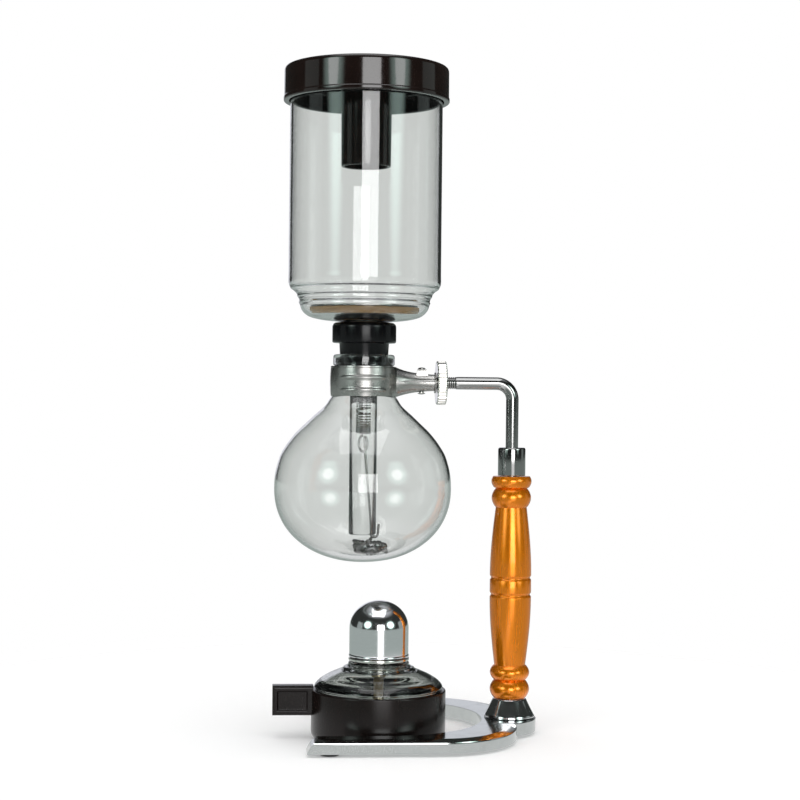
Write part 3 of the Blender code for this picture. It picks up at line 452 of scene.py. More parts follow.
class Paint:
    """Makes the nodes of one node tree."""

    def __init__(self, tree: bpy.types.NodeTree) -> None:
        """Keep the tree that the nodes go into."""
        self.tree = tree

    def node(self, kind: str, settings: dict | None = None, values: dict | None = None,
             output: int | str = 0) -> Link:
        """Add a node, set it up, feed its sockets and return one of its outputs.

        Args:
            kind: the node's type.
            settings: its properties, set before its sockets are fed.
            values: socket name or number to a number, a colour or a Link.
            output: the name or number of the output to return.

        Returns:
            The wanted output.
        """
        made = self.tree.nodes.new(kind)
        for key, value in (settings or {}).items():
            setattr(made, key, value)
        for key, value in (values or {}).items():
            if isinstance(value, Link):
                self.tree.links.new(value.socket, made.inputs[key])
            else:
                made.inputs[key].default_value = value
        return Link(self, made.outputs[output])

    def place(self) -> Link:
        """Return the object's own coordinates, in metres."""
        return self.node("ShaderNodeTexCoord", output="Object")

    def split(self, vector: Link) -> tuple[Link, Link, Link]:
        """Return a vector's three parts."""
        axes = self.node("ShaderNodeSeparateXYZ", None, {0: vector})
        return tuple(Link(self, axes.socket.node.outputs[i]) for i in range(3))

    def noise(self, scale: float, detail: float = 3.0, stretch: Sequence[float] = (1, 1, 1),
              rough: float = 0.5) -> Link:
        """Return noise on the object's coordinates, stretched along its axes.

        Args:
            scale: how fine the noise is.
            detail: how many finer layers it has.
            stretch: a factor for each axis.
            rough: how strong the finer layers are.

        Returns:
            The noise.
        """
        spread = self.node("ShaderNodeMapping", None, {"Vector": self.place(), "Scale": tuple(stretch)})
        return self.node("ShaderNodeTexNoise", None,
                         {"Vector": spread, "Scale": scale, "Detail": detail, "Roughness": rough})

    def blend(self, factor: Link | float, first: Sequence[float] | Link,
              second: Sequence[float] | Link) -> Link:
        """Return a colour between two.

        Args:
            factor: the share of the second colour.
            first: the first colour.
            second: the second colour.

        Returns:
            The mixed colour.
        """
        colours = [c if isinstance(c, Link) else (*c, 1.0) for c in (first, second)]
        return self.node("ShaderNodeMix", {"data_type": "RGBA"},
                         {0: factor, 6: colours[0], 7: colours[1]}, output=2)

    def bump(self, height: Link, distance: float) -> Link:
        """Return a normal that a height disturbs by up to a distance."""
        return self.node("ShaderNodeBump", None,
                         {"Strength": 1.0, "Distance": distance, "Height": height}, output="Normal")

    def around(self, x: float, y: float) -> tuple[Link, Link]:
        """Return the angle and the distance of a point from an upright axis."""
        along, across, _ = self.split(self.place())
        dx, dy = along - x, across - y
        return dy.angle_to(dx), (dx * dx + dy * dy) ** 0.5


@dataclass(frozen=True)
class Finish:
    """A material: constant settings of the surface shader, and a pattern that varies over it."""

    name: str
    colour: tuple[float, float, float]
    roughness: float
    settings: tuple[tuple[str, float], ...] = ()

    def material(self) -> bpy.types.Material:
        """Return the material, made the first time that it is asked for.

        Returns:
            The material.
        """
        found = bpy.data.materials.get(self.name)
        if found:
            return found
        made = bpy.data.materials.new(self.name)
        made.use_nodes = True
        shader = made.node_tree.nodes["Principled BSDF"]
        shader.inputs["Base Color"].default_value = (*self.colour, 1.0)
        shader.inputs["Roughness"].default_value = self.roughness
        for socket, value in self.settings:
            shader.inputs[socket].default_value = value
        for socket, link in self.pattern(Paint(made.node_tree)).items():
            made.node_tree.links.new(link.socket, shader.inputs[socket])
        return made

    def pattern(self, paint: Paint) -> dict[str, Link]:
        """Return what varies over the surface, by socket."""
        return {}


@dataclass(frozen=True)
class Plating(Finish):
    """Bright plated or polished metal, with faint cloudy handling marks and polishing ripple."""

    settings: tuple[tuple[str, float], ...] = (("Metallic", 1.0),)
    marks: float = 0.05
    ripple: float = 0.000004

    def pattern(self, paint: Paint) -> dict[str, Link]:
        """Cloud the gloss and ripple the surface very slightly.

        Args:
            paint: makes the material's nodes.

        Returns:
            Links by the name of the shader's socket.
        """
        cloud = paint.noise(160.0, 4.0)
        fine = paint.noise(900.0, 2.0)
        tone = paint.blend(cloud.between(0.35, 0.75), self.colour, tuple(0.94 * c for c in self.colour))
        gloss = self.roughness + self.marks * cloud.between(0.45, 0.8)
        return {"Base Color": tone, "Roughness": gloss, "Normal": paint.bump(fine, self.ripple)}


@dataclass(frozen=True)
class BrushedSteel(Finish):
    """Pressed or turned steel with short hair lines."""

    settings: tuple[tuple[str, float], ...] = (("Metallic", 1.0),)
    stretch: tuple[float, float, float] = (1.0, 1.0, 14.0)

    def pattern(self, paint: Paint) -> dict[str, Link]:
        """Draw hair lines across the stretch, and dull the metal in patches.

        Args:
            paint: makes the material's nodes.

        Returns:
            Links by the name of the shader's socket.
        """
        lines = paint.noise(1200.0, 3.0, self.stretch)
        cloud = paint.noise(120.0, 3.0)
        tone = paint.blend(lines.between(0.3, 0.7), self.colour, tuple(0.86 * c for c in self.colour))
        gloss = self.roughness + 0.10 * cloud.between(0.4, 0.8) + 0.05 * lines.between(0.4, 0.7)
        return {"Base Color": tone, "Roughness": gloss, "Normal": paint.bump(lines, 0.000006)}


@dataclass(frozen=True)
class Lacquer(Finish):
    """Clear orange lacquer over turned wood: grain under a glossy coat."""

    settings: tuple[tuple[str, float], ...] = (("Metallic", 0.62), ("Coat Weight", 0.45),
                                               ("Coat Roughness", 0.03), ("Coat IOR", 1.5))
    dark: tuple[float, float, float] = (0.50, 0.105, 0.0)

    def pattern(self, paint: Paint) -> dict[str, Link]:
        """Stretch the grain up the grip, with pores and a slow drift of tone.

        Args:
            paint: makes the material's nodes.

        Returns:
            Links by the name of the shader's socket.
        """
        grain = paint.noise(420.0, 5.0, (1.0, 1.0, 0.06), 0.62)
        drift = paint.noise(45.0, 2.0, (1.0, 1.0, 0.5))
        pores = paint.noise(2600.0, 2.0, (1.0, 1.0, 0.05)).between(0.62, 0.74)
        shade = grain.between(0.32, 0.72) * 0.10 + drift.between(0.3, 0.7) * 0.10 + pores * 0.06
        return {"Base Color": paint.blend(shade, self.colour, self.dark),
                "Roughness": self.roughness + 0.10 * grain.between(0.3, 0.7),
                "Normal": paint.bump(grain, 0.000010)}


@dataclass(frozen=True)
class Moulded(Finish):
    """Glossy moulded plastic: faint orange peel, dust and fine scuffs."""

    settings: tuple[tuple[str, float], ...] = (("IOR", 1.5), ("Coat Weight", 0.35), ("Coat Roughness", 0.05))
    peel: float = 0.000010

    def pattern(self, paint: Paint) -> dict[str, Link]:
        """Vary the tone and gloss a little, and roll the surface.

        Args:
            paint: makes the material's nodes.

        Returns:
            Links by the name of the shader's socket.
        """
        cloud = paint.noise(70.0, 4.0)
        scuff = paint.noise(1500.0, 3.0, (1.0, 1.0, 0.2)).between(0.6, 0.8)
        tone = paint.blend(cloud.between(0.3, 0.75), self.colour, tuple(1.6 * c for c in self.colour))
        return {"Base Color": tone, "Roughness": self.roughness + 0.06 * cloud + 0.12 * scuff,
                "Normal": paint.bump(paint.noise(420.0, 1.0), self.peel)}


@dataclass(frozen=True)
class Rubber(Finish):
    """Black moulded rubber with a fine bloom."""

    settings: tuple[tuple[str, float], ...] = (("IOR", 1.5),)

    def pattern(self, paint: Paint) -> dict[str, Link]:
        """Pepper the surface with fine grain and a greyish bloom.

        Args:
            paint: makes the material's nodes.

        Returns:
            Links by the name of the shader's socket.
        """
        grain = paint.noise(3200.0, 3.0)
        bloom = paint.noise(140.0, 4.0).between(0.45, 0.8)
        return {"Base Color": paint.blend(bloom * 0.6, self.colour, (0.010, 0.0105, 0.012)),
                "Roughness": self.roughness + 0.15 * bloom + 0.08 * grain,
                "Normal": paint.bump(grain, 0.000015)}


@dataclass(frozen=True)
class BlownGlass(Finish):
    """Clear laboratory glass, with the slow ripple of blown work."""

    settings: tuple[tuple[str, float], ...] = (("Transmission Weight", 1.0), ("IOR", 1.47))
    ripple: float = 0.00006

    def pattern(self, paint: Paint) -> dict[str, Link]:
        """Ripple the wall slowly round and along the piece.

        Args:
            paint: makes the material's nodes.

        Returns:
            Links by the name of the shader's socket.
        """
        wave = paint.noise(38.0, 1.5, (1.0, 1.0, 0.45))
        pale = tuple(min(1.0, 1.006 * c) for c in self.colour)
        tone = paint.blend(wave.between(0.3, 0.7), self.colour, pale)
        return {"Base Color": tone, "Normal": paint.bump(wave, self.ripple)}


@dataclass(frozen=True)
class WovenCloth(Finish):
    """Plain woven cloth: two sets of threads that pass over and under each other."""

    settings: tuple[tuple[str, float], ...] = (("Sheen Weight", 0.4), ("Sheen Roughness", 0.5))
    thread: float = 0.0007
    dark: tuple[float, float, float] = (0.20, 0.11, 0.04)

    def pattern(self, paint: Paint) -> dict[str, Link]:
        """Multiply two sets of waves for the weave, and stain it in patches.

        Args:
            paint: makes the material's nodes.

        Returns:
            Links by the name of the shader's socket.
        """
        x, y, _ = paint.split(paint.place())
        rate = math.pi / self.thread
        weave = ((x * rate).sine() * (y * rate).sine()).size() ** 0.5
        fuzz = paint.noise(2200.0, 4.0)
        stain = paint.noise(110.0, 4.0).between(0.35, 0.7)
        shade = 0.75 - 0.35 * weave + 0.25 * fuzz - 0.3 * stain
        return {"Base Color": paint.blend(shade, self.colour, self.dark),
                "Roughness": 0.8 + 0.15 * fuzz, "Normal": paint.bump(weave + 0.4 * fuzz, 0.00012)}


CHROME = Plating("chrome", (0.80, 0.81, 0.82), 0.035)
BASE_CHROME = Plating("base_chrome", (0.58, 0.61, 0.60), 0.12, marks=0.08)
ROD_CHROME = Plating("rod_chrome", (0.34, 0.34, 0.335), 0.09)
CLAMP_STEEL = BrushedSteel("clamp_steel", (0.50, 0.49, 0.475), 0.25, stretch=(1.0, 1.0, 6.0))
SPRING_STEEL = Plating("spring_steel", (0.26, 0.255, 0.245), 0.14, marks=0.10)
WIRE_STEEL = Plating("wire_steel", (0.62, 0.61, 0.59), 0.16, marks=0.10)
NICKEL = Plating("nickel", (0.46, 0.455, 0.45), 0.22, marks=0.08, ripple=0.000010)
BRASS = Plating("brass", (0.78, 0.58, 0.26), 0.22, marks=0.12)
LACQUER = Lacquer("orange_lacquer", (0.95, 0.262, 0.0), 0.20)
PLASTIC = Moulded("dark_brown_plastic", (0.0075, 0.0040, 0.0032), 0.07)
SATIN_PLASTIC = Moulded("satin_brown_plastic", (0.0050, 0.0026, 0.0022), 0.20,
                        settings=(("IOR", 1.36), ("Coat Weight", 0.0)))
RUBBER = Rubber("black_rubber", (0.003, 0.003, 0.004), 0.10, settings=(("IOR", 1.36),))
GLASS = BlownGlass("clear_glass", (0.965, 0.972, 0.968), 0.0)
BOTTLE_GLASS = BlownGlass("bottle_glass", (0.66, 0.68, 0.66), 0.0, ripple=0.00010)
FLANNEL = WovenCloth("filter_cloth", (0.56, 0.30, 0.065), 0.85, dark=(0.17, 0.08, 0.02))
COTTON = WovenCloth("wick_cotton", (0.72, 0.55, 0.26), 0.9, thread=0.0005, dark=(0.42, 0.28, 0.10))


# ---------------------------------------------------------------- stand
@dataclass
class Stand:
    """The stand: horseshoe base on three pads, with its post, grip, ferrule and bent rod."""

    base: Place = field(default_factory=lambda: Place.of("base_plate"))
    foot: Place = field(default_factory=lambda: Place.of("post_foot"))
    grip: Place = field(default_factory=lambda: Place.of("handle_grip"))
    ferrule: Place = field(default_factory=lambda: Place.of("post_ferrule"))
    rod: Place = field(default_factory=lambda: Place.of("post_rod"))
    rod_radius: float = 3.15 * MM
    thread_radius: float = 3.0 * MM
    thread_pitch: float = 1.0 * MM
    thread_depth: float = 0.62 * MM
    thread_steps: int = 10
    thread_start: float = -28.5 * MM
    bend_radius: float = 8.0 * MM
    foot_top: float = 8.4 * MM
    bore: float = 2.8 * MM

    def make_base(self) -> bpy.types.Object:
        """Loft the base's plate: sections of its horseshoe outline, eased over each edge.

        The outline is: the tail's arc, the outer corner's arc, the straight side, the prong's tip and the
        round of the opening, mirrored.  Each section keeps the same count of points, and insets
        only the corner's arc and the side, as a border that slopes to the top.

        Returns:
            The plate.
        """
        low, high = self.base.low, self.base.high
        half, tip = high[1], low[0]
        tail, tail_x, edge_x = 24.0 * MM, high[0] - 24.0 * MM, 0.5 * MM
        opening, opening_x = half - 12.8 * MM, low[0] + 39.1 * MM
        turn = math.acos((edge_x - tail_x) / tail)
        corner = half - tail * math.sin(turn)
        centre = np.array([edge_x - corner, half - corner])
        border, run = 5.0 * MM, 5.6 * MM

        def section(inset: float, height: float, grow: float = 0.0) -> np.ndarray:
            """Return a section: inset moves the border in, and grow moves every edge in.

            Args:
                inset: how far the border is moved in.
                height: its height.
                grow: how far every edge is moved in.

            Returns:
                (count, 3) points.
            """
            a = turn * np.linspace(0, 1, 17)
            rear = np.stack([tail_x + (tail - grow) * np.cos(a), (tail - grow) * np.sin(a)], 1)
            b = np.linspace(0, np.pi / 2, 25)
            reach = corner - inset - grow
            bend = centre + reach * np.stack([np.cos(b), np.sin(b)], 1)
            share = min(1.0, (height - low[2]) / (high[2] - low[2]))
            x = tip + run * (0.35 * share + 0.65 * (1 - math.sqrt(1 - share ** 2))) + grow
            side = np.stack([np.linspace(centre[0], x, 7)[1:], np.full(6, half - inset - grow)], 1)
            end = np.stack([np.full(5, x), np.linspace(half - inset - grow, opening + grow, 6)[1:]], 1)
            c = np.linspace(np.pi / 2, 0, 33)
            inner = opening + grow
            arm = np.stack([np.linspace(x, opening_x, 6)[1:-1], np.full(4, inner)], 1)
            mouth = np.stack([opening_x + inner * np.cos(c), inner * np.sin(c)], 1)
            upper = np.vstack([rear, bend, side, end, arm, mouth])
            lower = upper[1:-1][::-1] * (1, -1)
            outline = np.vstack([upper, lower])
            return np.column_stack([outline, np.full(len(outline), height)])

        edge, top = high[2] - 1.0 * MM, high[2]
        ease = 0.35 * MM
        rows = [section(0, low[2], ease)]
        rows += [section(0, height) for height in np.linspace(low[2] + ease, edge - 0.3 * MM, 8)]
        rows += [section(0.10 * MM, edge), section(0.5 * MM, edge + 0.10 * MM),
                section(border - 0.5 * MM, top - 0.10 * MM), section(border, top - 0.01 * MM, 0.12 * MM),
                section(border + 0.4 * MM, top, 0.4 * MM)]
        skin = grid_skin(np.array(rows), wrap_columns=True, caps=True).outward()
        return make_piece("stand_base", skin, BASE_CHROME, "base_plate", 24)

    def make_foot(self) -> bpy.types.Object:
        """Turn the flared foot: a short rim, then a cone whose side bows in by a quarter sine.

        Returns:
            The piece.
        """
        low, high = self.foot.low[2], self.foot.high[2]
        wide = self.foot.radius
        rise = np.linspace(0, 1, 15)
        edge = wide - 0.3 * MM
        side = np.stack([edge - (edge - self.foot_top) * rise - 0.1 * MM * np.sin(np.pi * rise),
                         low + 0.9 * MM + (high - low - 1.1 * MM) * rise], 1)
        rim = Outline().to(self.bore, low).to(wide, low, 0.15 * MM).to(wide, low + 0.8 * MM, 0.3 * MM).line()
        cap = np.array([[self.foot_top - 0.2 * MM, high], [self.bore, high]])
        return make_piece("foot_cone", lathe(np.vstack([rim, side, cap]), 128), CHROME, "post_foot")

    def make_grip(self) -> bpy.types.Object:
        """Turn the grip: beads are half sines, barrels quarter sines, and the ring stands between grooves.

        Returns:
            The piece.
        """
        low, high = self.grip.low[2], self.grip.high[2]
        thick, thin = self.grip.radius, 7.8 * MM
        widths = {"end": 9.0 * MM, "bead": 7.6 * MM, "upper": 9.6 * MM, "top": 6.0 * MM,
                  "groove": 2.7 * MM, "ring": 5.7 * MM}
        span = (high - low - sum(widths.values()) - widths["groove"]) / 2
        t = np.linspace(0, 1, 22)

        def bead(start: float, width: float, edge: float, peak: float) -> np.ndarray:
            """Return a bead's side: a half sine raised to the power 0.8."""
            return np.stack([edge + (peak - edge) * np.sin(np.pi * t) ** 0.8, start + width * t], 1)

        z = low
        parts = [bead(z, widths["end"], thin, thick - 0.5 * MM)]
        z += widths["end"]
        parts.append(bead(z, widths["bead"], thin, thick - 0.5 * MM)[1:])
        z += widths["bead"]
        parts.append(np.stack([thin + (thick - thin) * np.sin(np.pi / 2 * t), z + span * t], 1)[1:])
        z += span
        for start in (z, z + widths["groove"] + widths["ring"]):
            groove = start + widths["groove"] * t
            parts.append(np.stack([thick - 0.6 * MM * np.sin(np.pi * t) ** 2, groove], 1)[1:])
        z += 2 * widths["groove"] + widths["ring"]
        parts.append(np.stack([thin + (thick - thin) * np.cos(np.pi / 2 * t), z + span * t], 1)[1:])
        z += span
        parts.append(bead(z, widths["upper"], thin, thick - 0.5 * MM)[1:])
        z += widths["upper"]
        top = bead(z, widths["top"] * 1.15, thin + 0.6 * MM, thick - 0.3 * MM)[1:]
        parts.append(top[top[:, 1] < high - 0.25 * MM])
        edge = parts[-1][-1, 0]
        closing = np.array([[edge - 0.15 * MM, high - 0.05 * MM], [edge - 0.5 * MM, high],
                            [self.bore, high], [self.bore, low], [thin - 0.4 * MM, low]])
        profile = np.vstack(parts + [closing])
        return make_piece("grip_turning", lathe(profile, 128), LACQUER, "handle_grip", 50)

    def make_ferrule(self) -> bpy.types.Object:
        """Turn the ferrule, with a rounded top edge and a bore for the rod.

        Returns:
            The piece.
        """
        low, high = self.ferrule.low[2], self.ferrule.high[2]
        r = self.ferrule.radius
        bore = self.rod_radius + 0.15 * MM
        line = Outline().to(self.bore, low).to(r, low, 0.3 * MM).to(r, high, 1.1 * MM)
        line.to(bore, high, 0.2 * MM).to(bore, low + 6.0 * MM).to(self.bore, low + 6.0 * MM)
        return make_piece("ferrule_turning", lathe(line.line(), 128), ROD_CHROME, "post_ferrule")

    def make_rod(self) -> bpy.types.Object:
        """Carry a circle up the post, round the bend and along the arm.

        Along the arm's end the radius is the thread's wave: its triangle turns once for each pitch.

        Returns:
            The rod, with its thread.
        """
        foot, arm = self.rod.low[2], self.rod.high[2] - self.rod_radius
        bend, end = self.bend_radius, self.rod.low[0]
        t = np.linspace(0, np.pi / 2, 40)[1:-1]
        count = int((self.thread_start - end) / self.thread_pitch * self.thread_steps)
        path = np.vstack([np.linspace((0, 0, foot), (0, 0, arm - bend), 30),
                          np.stack([bend * np.cos(t) - bend, 0 * t, arm - bend + bend * np.sin(t)], 1),
                          np.linspace((-bend, 0, arm), (self.thread_start, 0, arm), 16),
                          np.linspace((self.thread_start, 0, arm), (end, 0, arm), count + 1)[1:]])
        start = (arm - bend - foot) + np.pi / 2 * bend + (-bend - self.thread_start)

        def thread(along: np.ndarray, angle: np.ndarray) -> np.ndarray:
            """Return the radius factor: full on the plain rod, then the thread's wave.

            Args:
                along: distances along the path.
                angle: angles round the piece.

            Returns:
                The radius factor at each point.
            """
            depth = 1 - self.thread_depth / self.rod_radius
            phase = (along - start) / self.thread_pitch - angle / TAU
            wave = 1 - np.abs(2 * (phase % 1) - 1)
            threaded = depth + (self.thread_radius / self.rod_radius - depth) * np.clip(1.6 * wave, 0, 1)
            share = soft_step(along, start - 0.2 * MM, start + 0.7 * MM)
            return (1 - share) + share * threaded

        skin = sweep(path, self.rod_radius, (0, 1, 0), 40, thread)
        return make_piece("arm_rod", skin, ROD_CHROME, "post_rod", 40)

    def make_small(self) -> list[bpy.types.Object]:
        """Turn the pads and the tie bolt, each with eased edges.

        Returns:
            The pieces.
        """
        made = []
        for node in ("pad_post", "pad_front", "pad_back"):
            spot = Place.of(node)
            x, y, _ = spot.centre
            line = Outline().to(0, spot.high[2]).to(spot.radius, spot.high[2], 0.15 * MM)
            line.to(spot.radius, 0, 0.25 * MM).to(0, 0)
            made.append(make_piece(node + "_disc", lathe(line.line(), 64).moved((x, y, 0)), RUBBER, node))
        bolt = Place.of("tie_bolt")
        low, high, head = bolt.low[2], bolt.high[2], bolt.radius
        line = Outline().to(0, high).to(2.5 * MM, high, 0.4 * MM).to(2.5 * MM, low + 2.5 * MM)
        line.to(head, low + 2.5 * MM, 0.3 * MM).to(head, low, 0.6 * MM).to(1.6 * MM, low)
        line.to(1.4 * MM, low + 1.4 * MM).to(0, low + 1.4 * MM)
        made.append(make_piece("tie_bolt_turning", lathe(line.line(), 48), WIRE_STEEL, "tie_bolt"))
        return made

    def build(self) -> int:
        """Make every piece of the stand and return how many there are."""
        first = [self.make_base(), self.make_foot(), self.make_grip(), self.make_ferrule(), self.make_rod()]
        return len(first + self.make_small())


# ---------------------------------------------------------------- clamp
class Side(Enum):
    """Which side of the arm a jaw is on."""

    FRONT = -1
    BACK = 1


@dataclass
class Clamp:
    """The neck clamp: two pressed jaws hinged on a pin, drawn together by a knurled nut on the rod."""

    pin: Place = field(default_factory=lambda: Place.of("clamp_pin"))
    nut: Place = field(default_factory=lambda: Place.of("thumb_nut"))
    washer: Place = field(default_factory=lambda: Place.of("thrust_washer"))
    glass_x: float = -75.0 * MM
    arm_z: float = 175.0 * MM
    wall: float = 0.8 * MM
    band_radius: float = 17.1 * MM
    band_low: float = 167.9 * MM
    band_high: float = 183.0 * MM
    flange: float = 14.5 * MM
    tail_root: float = 7.4 * MM
    tail_end: float = 4.35 * MM
    tail_end_x: float = -39.8 * MM
    split: float = 0.3 * MM
    tab_radius: float = 2.2 * MM
    rod_hole: float = 3.45 * MM
    teeth: int = 30
    opening: float = math.radians(6)
    pin_top: float = 7.7 * MM
    pin_foot: float = 5.9 * MM

    def jaw_skin(self) -> Skin:
        """Press the back jaw: a half band about the glass that runs into a half cone about the arm.

        A point at t along the strip and v up it lies on the band at angle f as (R cos f, R sin f, z),
        and on the tail at x as (x, r cos a, r sin a) with a from -90 to 90 degrees as v rises.  The
        two are mixed by a smooth step of t over the short bend between them.  Two ribs are raised
        round the band, and a long pointed one along the tail.

        Returns:
            The pressed sheet with its wall.
        """
        columns = 57
        middle = self.band_radius - self.wall / 2
        root = math.asin(self.tail_root / self.band_radius) * 0.80
        band_angle = np.concatenate([np.linspace(math.pi - 0.018, 1.0, 60)[:-1], np.linspace(1.0, root, 24)])
        tail_x = self.glass_x + middle * math.cos(root) + np.linspace(0, 1, 40)[1:] * (
            self.tail_end_x - self.glass_x - middle * math.cos(root))
        rows = len(band_angle) + len(tail_x)
        v = np.linspace(-1, 1, columns)[None]
        angle = np.concatenate([band_angle, np.full(len(tail_x), root)])[:, None]
        x_tail = np.concatenate([np.full(len(band_angle), tail_x[0]), tail_x])[:, None]
        half = (self.band_high - self.band_low) / 2
        centre = (self.band_high + self.band_low) / 2
        crown = 0.35 * MM * (1 - v ** 2)
        along = np.abs((angle - 1.62) / 0.78)
        slim = 0.11 * np.sqrt(np.clip(1 - along ** 2, 0.02, 1))
        ribs = 0.60 * MM * (np.exp(-((v - 0.24) / slim) ** 2) + np.exp(-((v + 0.58) / slim) ** 2))
        fade = 1 - soft_step(along, 0.80, 1.0)
        reach = middle - 0.30 * MM + crown - 0.35 * MM + ribs * fade
        band = np.stack(np.broadcast_arrays(self.glass_x + reach * np.cos(angle),
                                            np.maximum(reach * np.sin(angle), self.split + self.wall / 2),
                                            centre + half * v * (1 - 0.02 * v ** 2)), -1)
        run = np.clip((x_tail - tail_x[0]) / (self.tail_end_x - tail_x[0]), 0, 1)
        radius = self.tail_end + (self.tail_root - self.tail_end) * (1 - run) ** 2.4 - self.wall / 2
        long_rib = 0.55 * MM * np.exp(-((v + 0.05) / (0.07 + 0.13 * run)) ** 4) * soft_step(run, 0.02, 0.30)
        lean = v * math.pi / 2 * 0.94
        tail = np.stack(np.broadcast_arrays(
            x_tail, (radius + long_rib) * np.cos(lean) + self.split * 0.5,
            self.arm_z + (radius + long_rib) * np.sin(lean)), -1)
        order = np.arange(rows)[:, None, None]
        share = soft_step(order.astype(float), 70, 90)
        points = band * (1 - share) + tail * share
        past_pin = np.maximum(points[..., 0] - self.pin.centre[0], 0)
        relief = past_pin * math.sin(self.opening)
        points[..., 1] = np.maximum(points[..., 1], self.split + self.wall / 2 + relief)
        return sheet_skin(points, self.wall)

    def make_jaw(self, side: Side) -> bpy.types.Object:
        """Finish one jaw: the pressed sheet, its top flange and the tab that the pin goes through.

        Args:
            side: which jaw.

        Returns:
            The jaw.
        """
        node = f"clamp_jaw_{side.name.lower()}"
        skin = self.jaw_skin()
        skin = skin + self.flange_skin() + self.tab_skin(side)
        if side is Side.FRONT:
            skin = skin.mirrored()
        return make_piece(f"jaw_{side.name.lower()}", skin, CLAMP_STEEL, node, 45)

    def flange_skin(self) -> Skin:
        """Curl the flange at the band's top: an arc strip from the band's wall in to the neck.

        Returns:
            The flange with its wall.
        """
        angle = np.linspace(math.pi - 0.03, 0.42, 60)[:, None]
        t = np.linspace(0, 1, 9)[None]
        inner, outer = self.flange + 0.15 * MM, self.band_radius - 0.75 * MM
        bend = np.sin(t * math.pi / 2)
        reach = outer - (outer - inner) * t ** 1.4
        height = self.band_high - self.wall / 2 - 0.75 * MM * (1 - bend)
        points = np.stack(np.broadcast_arrays(self.glass_x + reach * np.cos(angle),
                                              np.maximum(reach * np.sin(angle), self.split + self.wall / 2),
                                              height), -1)
        return sheet_skin(points, self.wall)

    def tab_skin(self, side: Side) -> Skin:
        """Press the tab: a disc about the pin, with a web down to the tail beside it.

        Args:
            side: which jaw; the front one's tab lies over the back one's.

        Returns:
            The tab and its web.
        """
        x, _, _ = self.pin.centre
        level = {Side.FRONT: 6.3 * MM, Side.BACK: 5.3 * MM}[side]
        near = {Side.FRONT: self.tab_radius, Side.BACK: 1.1 * MM}[side]
        line = Outline().to(1.5 * MM, self.wall / 2).to(self.tab_radius, self.wall / 2, 0.15 * MM)
        line.to(self.tab_radius, -self.wall / 2, 0.15 * MM).to(1.5 * MM, -self.wall / 2)
        disc = lathe(line.line(), 48).moved((x, 0, self.arm_z + level))
        t = np.linspace(0, 1, 12)[:, None]
        across = np.linspace(-1, 1, 9)[None]
        rise = np.clip((t - 0.45) / 0.55, 0, 1)
        y = 1.2 * MM + (near + self.wall / 2 - 1.2 * MM) * np.minimum(t / 0.45, 1) + rise * 0.35 * MM
        drop = level - (level - 3.4 * MM) * rise ** 1.1
        web = np.stack(np.broadcast_arrays(x + across * (self.tab_radius + rise * 0.8 * MM), y,
                                           self.arm_z + drop), -1)
        return disc + sheet_skin(web, self.wall)

    def make_pin(self) -> bpy.types.Object:
        """Turn the hinge pin: a domed head above the tabs, and one flush below the tails.

        Returns:
            The piece.
        """
        x, y, z = self.pin.centre
        top, foot = self.pin_top, self.pin_foot
        head, body = self.pin.radius, 1.2 * MM
        t = np.linspace(0, math.pi / 2, 8)
        dome = np.stack([head * np.sin(t), 0.8 * MM * np.cos(t) - 0.8 * MM], 1)
        line = np.vstack([dome + (0, top), [[body, top - 0.85 * MM], [body, 0.85 * MM - foot]],
                          dome[::-1] * (1, -1) - (0, foot)])
        return make_piece("hinge_pin", lathe(line, 40).moved((x, y, z)), WIRE_STEEL, "clamp_pin", 40)

    def make_nut(self) -> bpy.types.Object:
        """Turn the nut about the arm: its rim waves in and out, once for each tooth of the knurl.

        Returns:
            The piece.
        """
        x0, x1 = self.nut.low[0], self.nut.high[0]
        wide = self.nut.radius
        line = Outline().to(self.rod_hole, 0, 0.3 * MM).to(wide - 2.4 * MM, 0).to(wide - 1.9 * MM, 0)
        line.to(wide, 0, 0.75 * MM).to(wide, x1 - x0, 0.75 * MM).to(wide - 2.2 * MM, x1 - x0, 0.2 * MM)
        line.to(wide - 2.8 * MM, x1 - x0 - 0.5 * MM, 0.2 * MM).to(5.6 * MM, x1 - x0 - 0.5 * MM, 0.2 * MM)
        line.to(5.2 * MM, x1 - x0, 0.2 * MM).to(self.rod_hole, x1 - x0, 0.3 * MM)

        def knurl(radius: np.ndarray, height: np.ndarray, angle: np.ndarray) -> tuple[np.ndarray, np.ndarray]:
            """Cut the knurl: a rounded notch between teeth, only at the rim."""
            depth = 0.75 * MM * soft_step(radius, wide - 1.6 * MM, wide - 0.4 * MM)
            notch = np.abs(np.cos(angle * self.teeth / 2)) ** 6
            return radius - depth * notch, height

        skin = lathe(line.line(), self.teeth * 12, knurl).laid_along_x(x0, self.arm_z)
        return make_piece("knurled_nut", skin, NICKEL, "thumb_nut", 50)

    def make_washer(self) -> bpy.types.Object:
        """Turn the washer about the arm.

        Returns:
            The piece.
        """
        x0, x1 = self.washer.low[0], self.washer.high[0]
        wide = self.washer.radius
        line = Outline().to(self.rod_hole, 0).to(wide, 0, 0.2 * MM).to(wide, x1 - x0, 0.2 * MM)
        line.to(self.rod_hole, x1 - x0)
        skin = lathe(line.line(), 96).laid_along_x(x0, self.arm_z)
        return make_piece("washer_disc", skin, CLAMP_STEEL, "thrust_washer")

    def build(self) -> int:
        """Make every piece of the clamp and return how many there are."""
        return len([self.make_jaw(Side.FRONT), self.make_jaw(Side.BACK), self.make_pin(),
                    self.make_nut(), self.make_washer()])


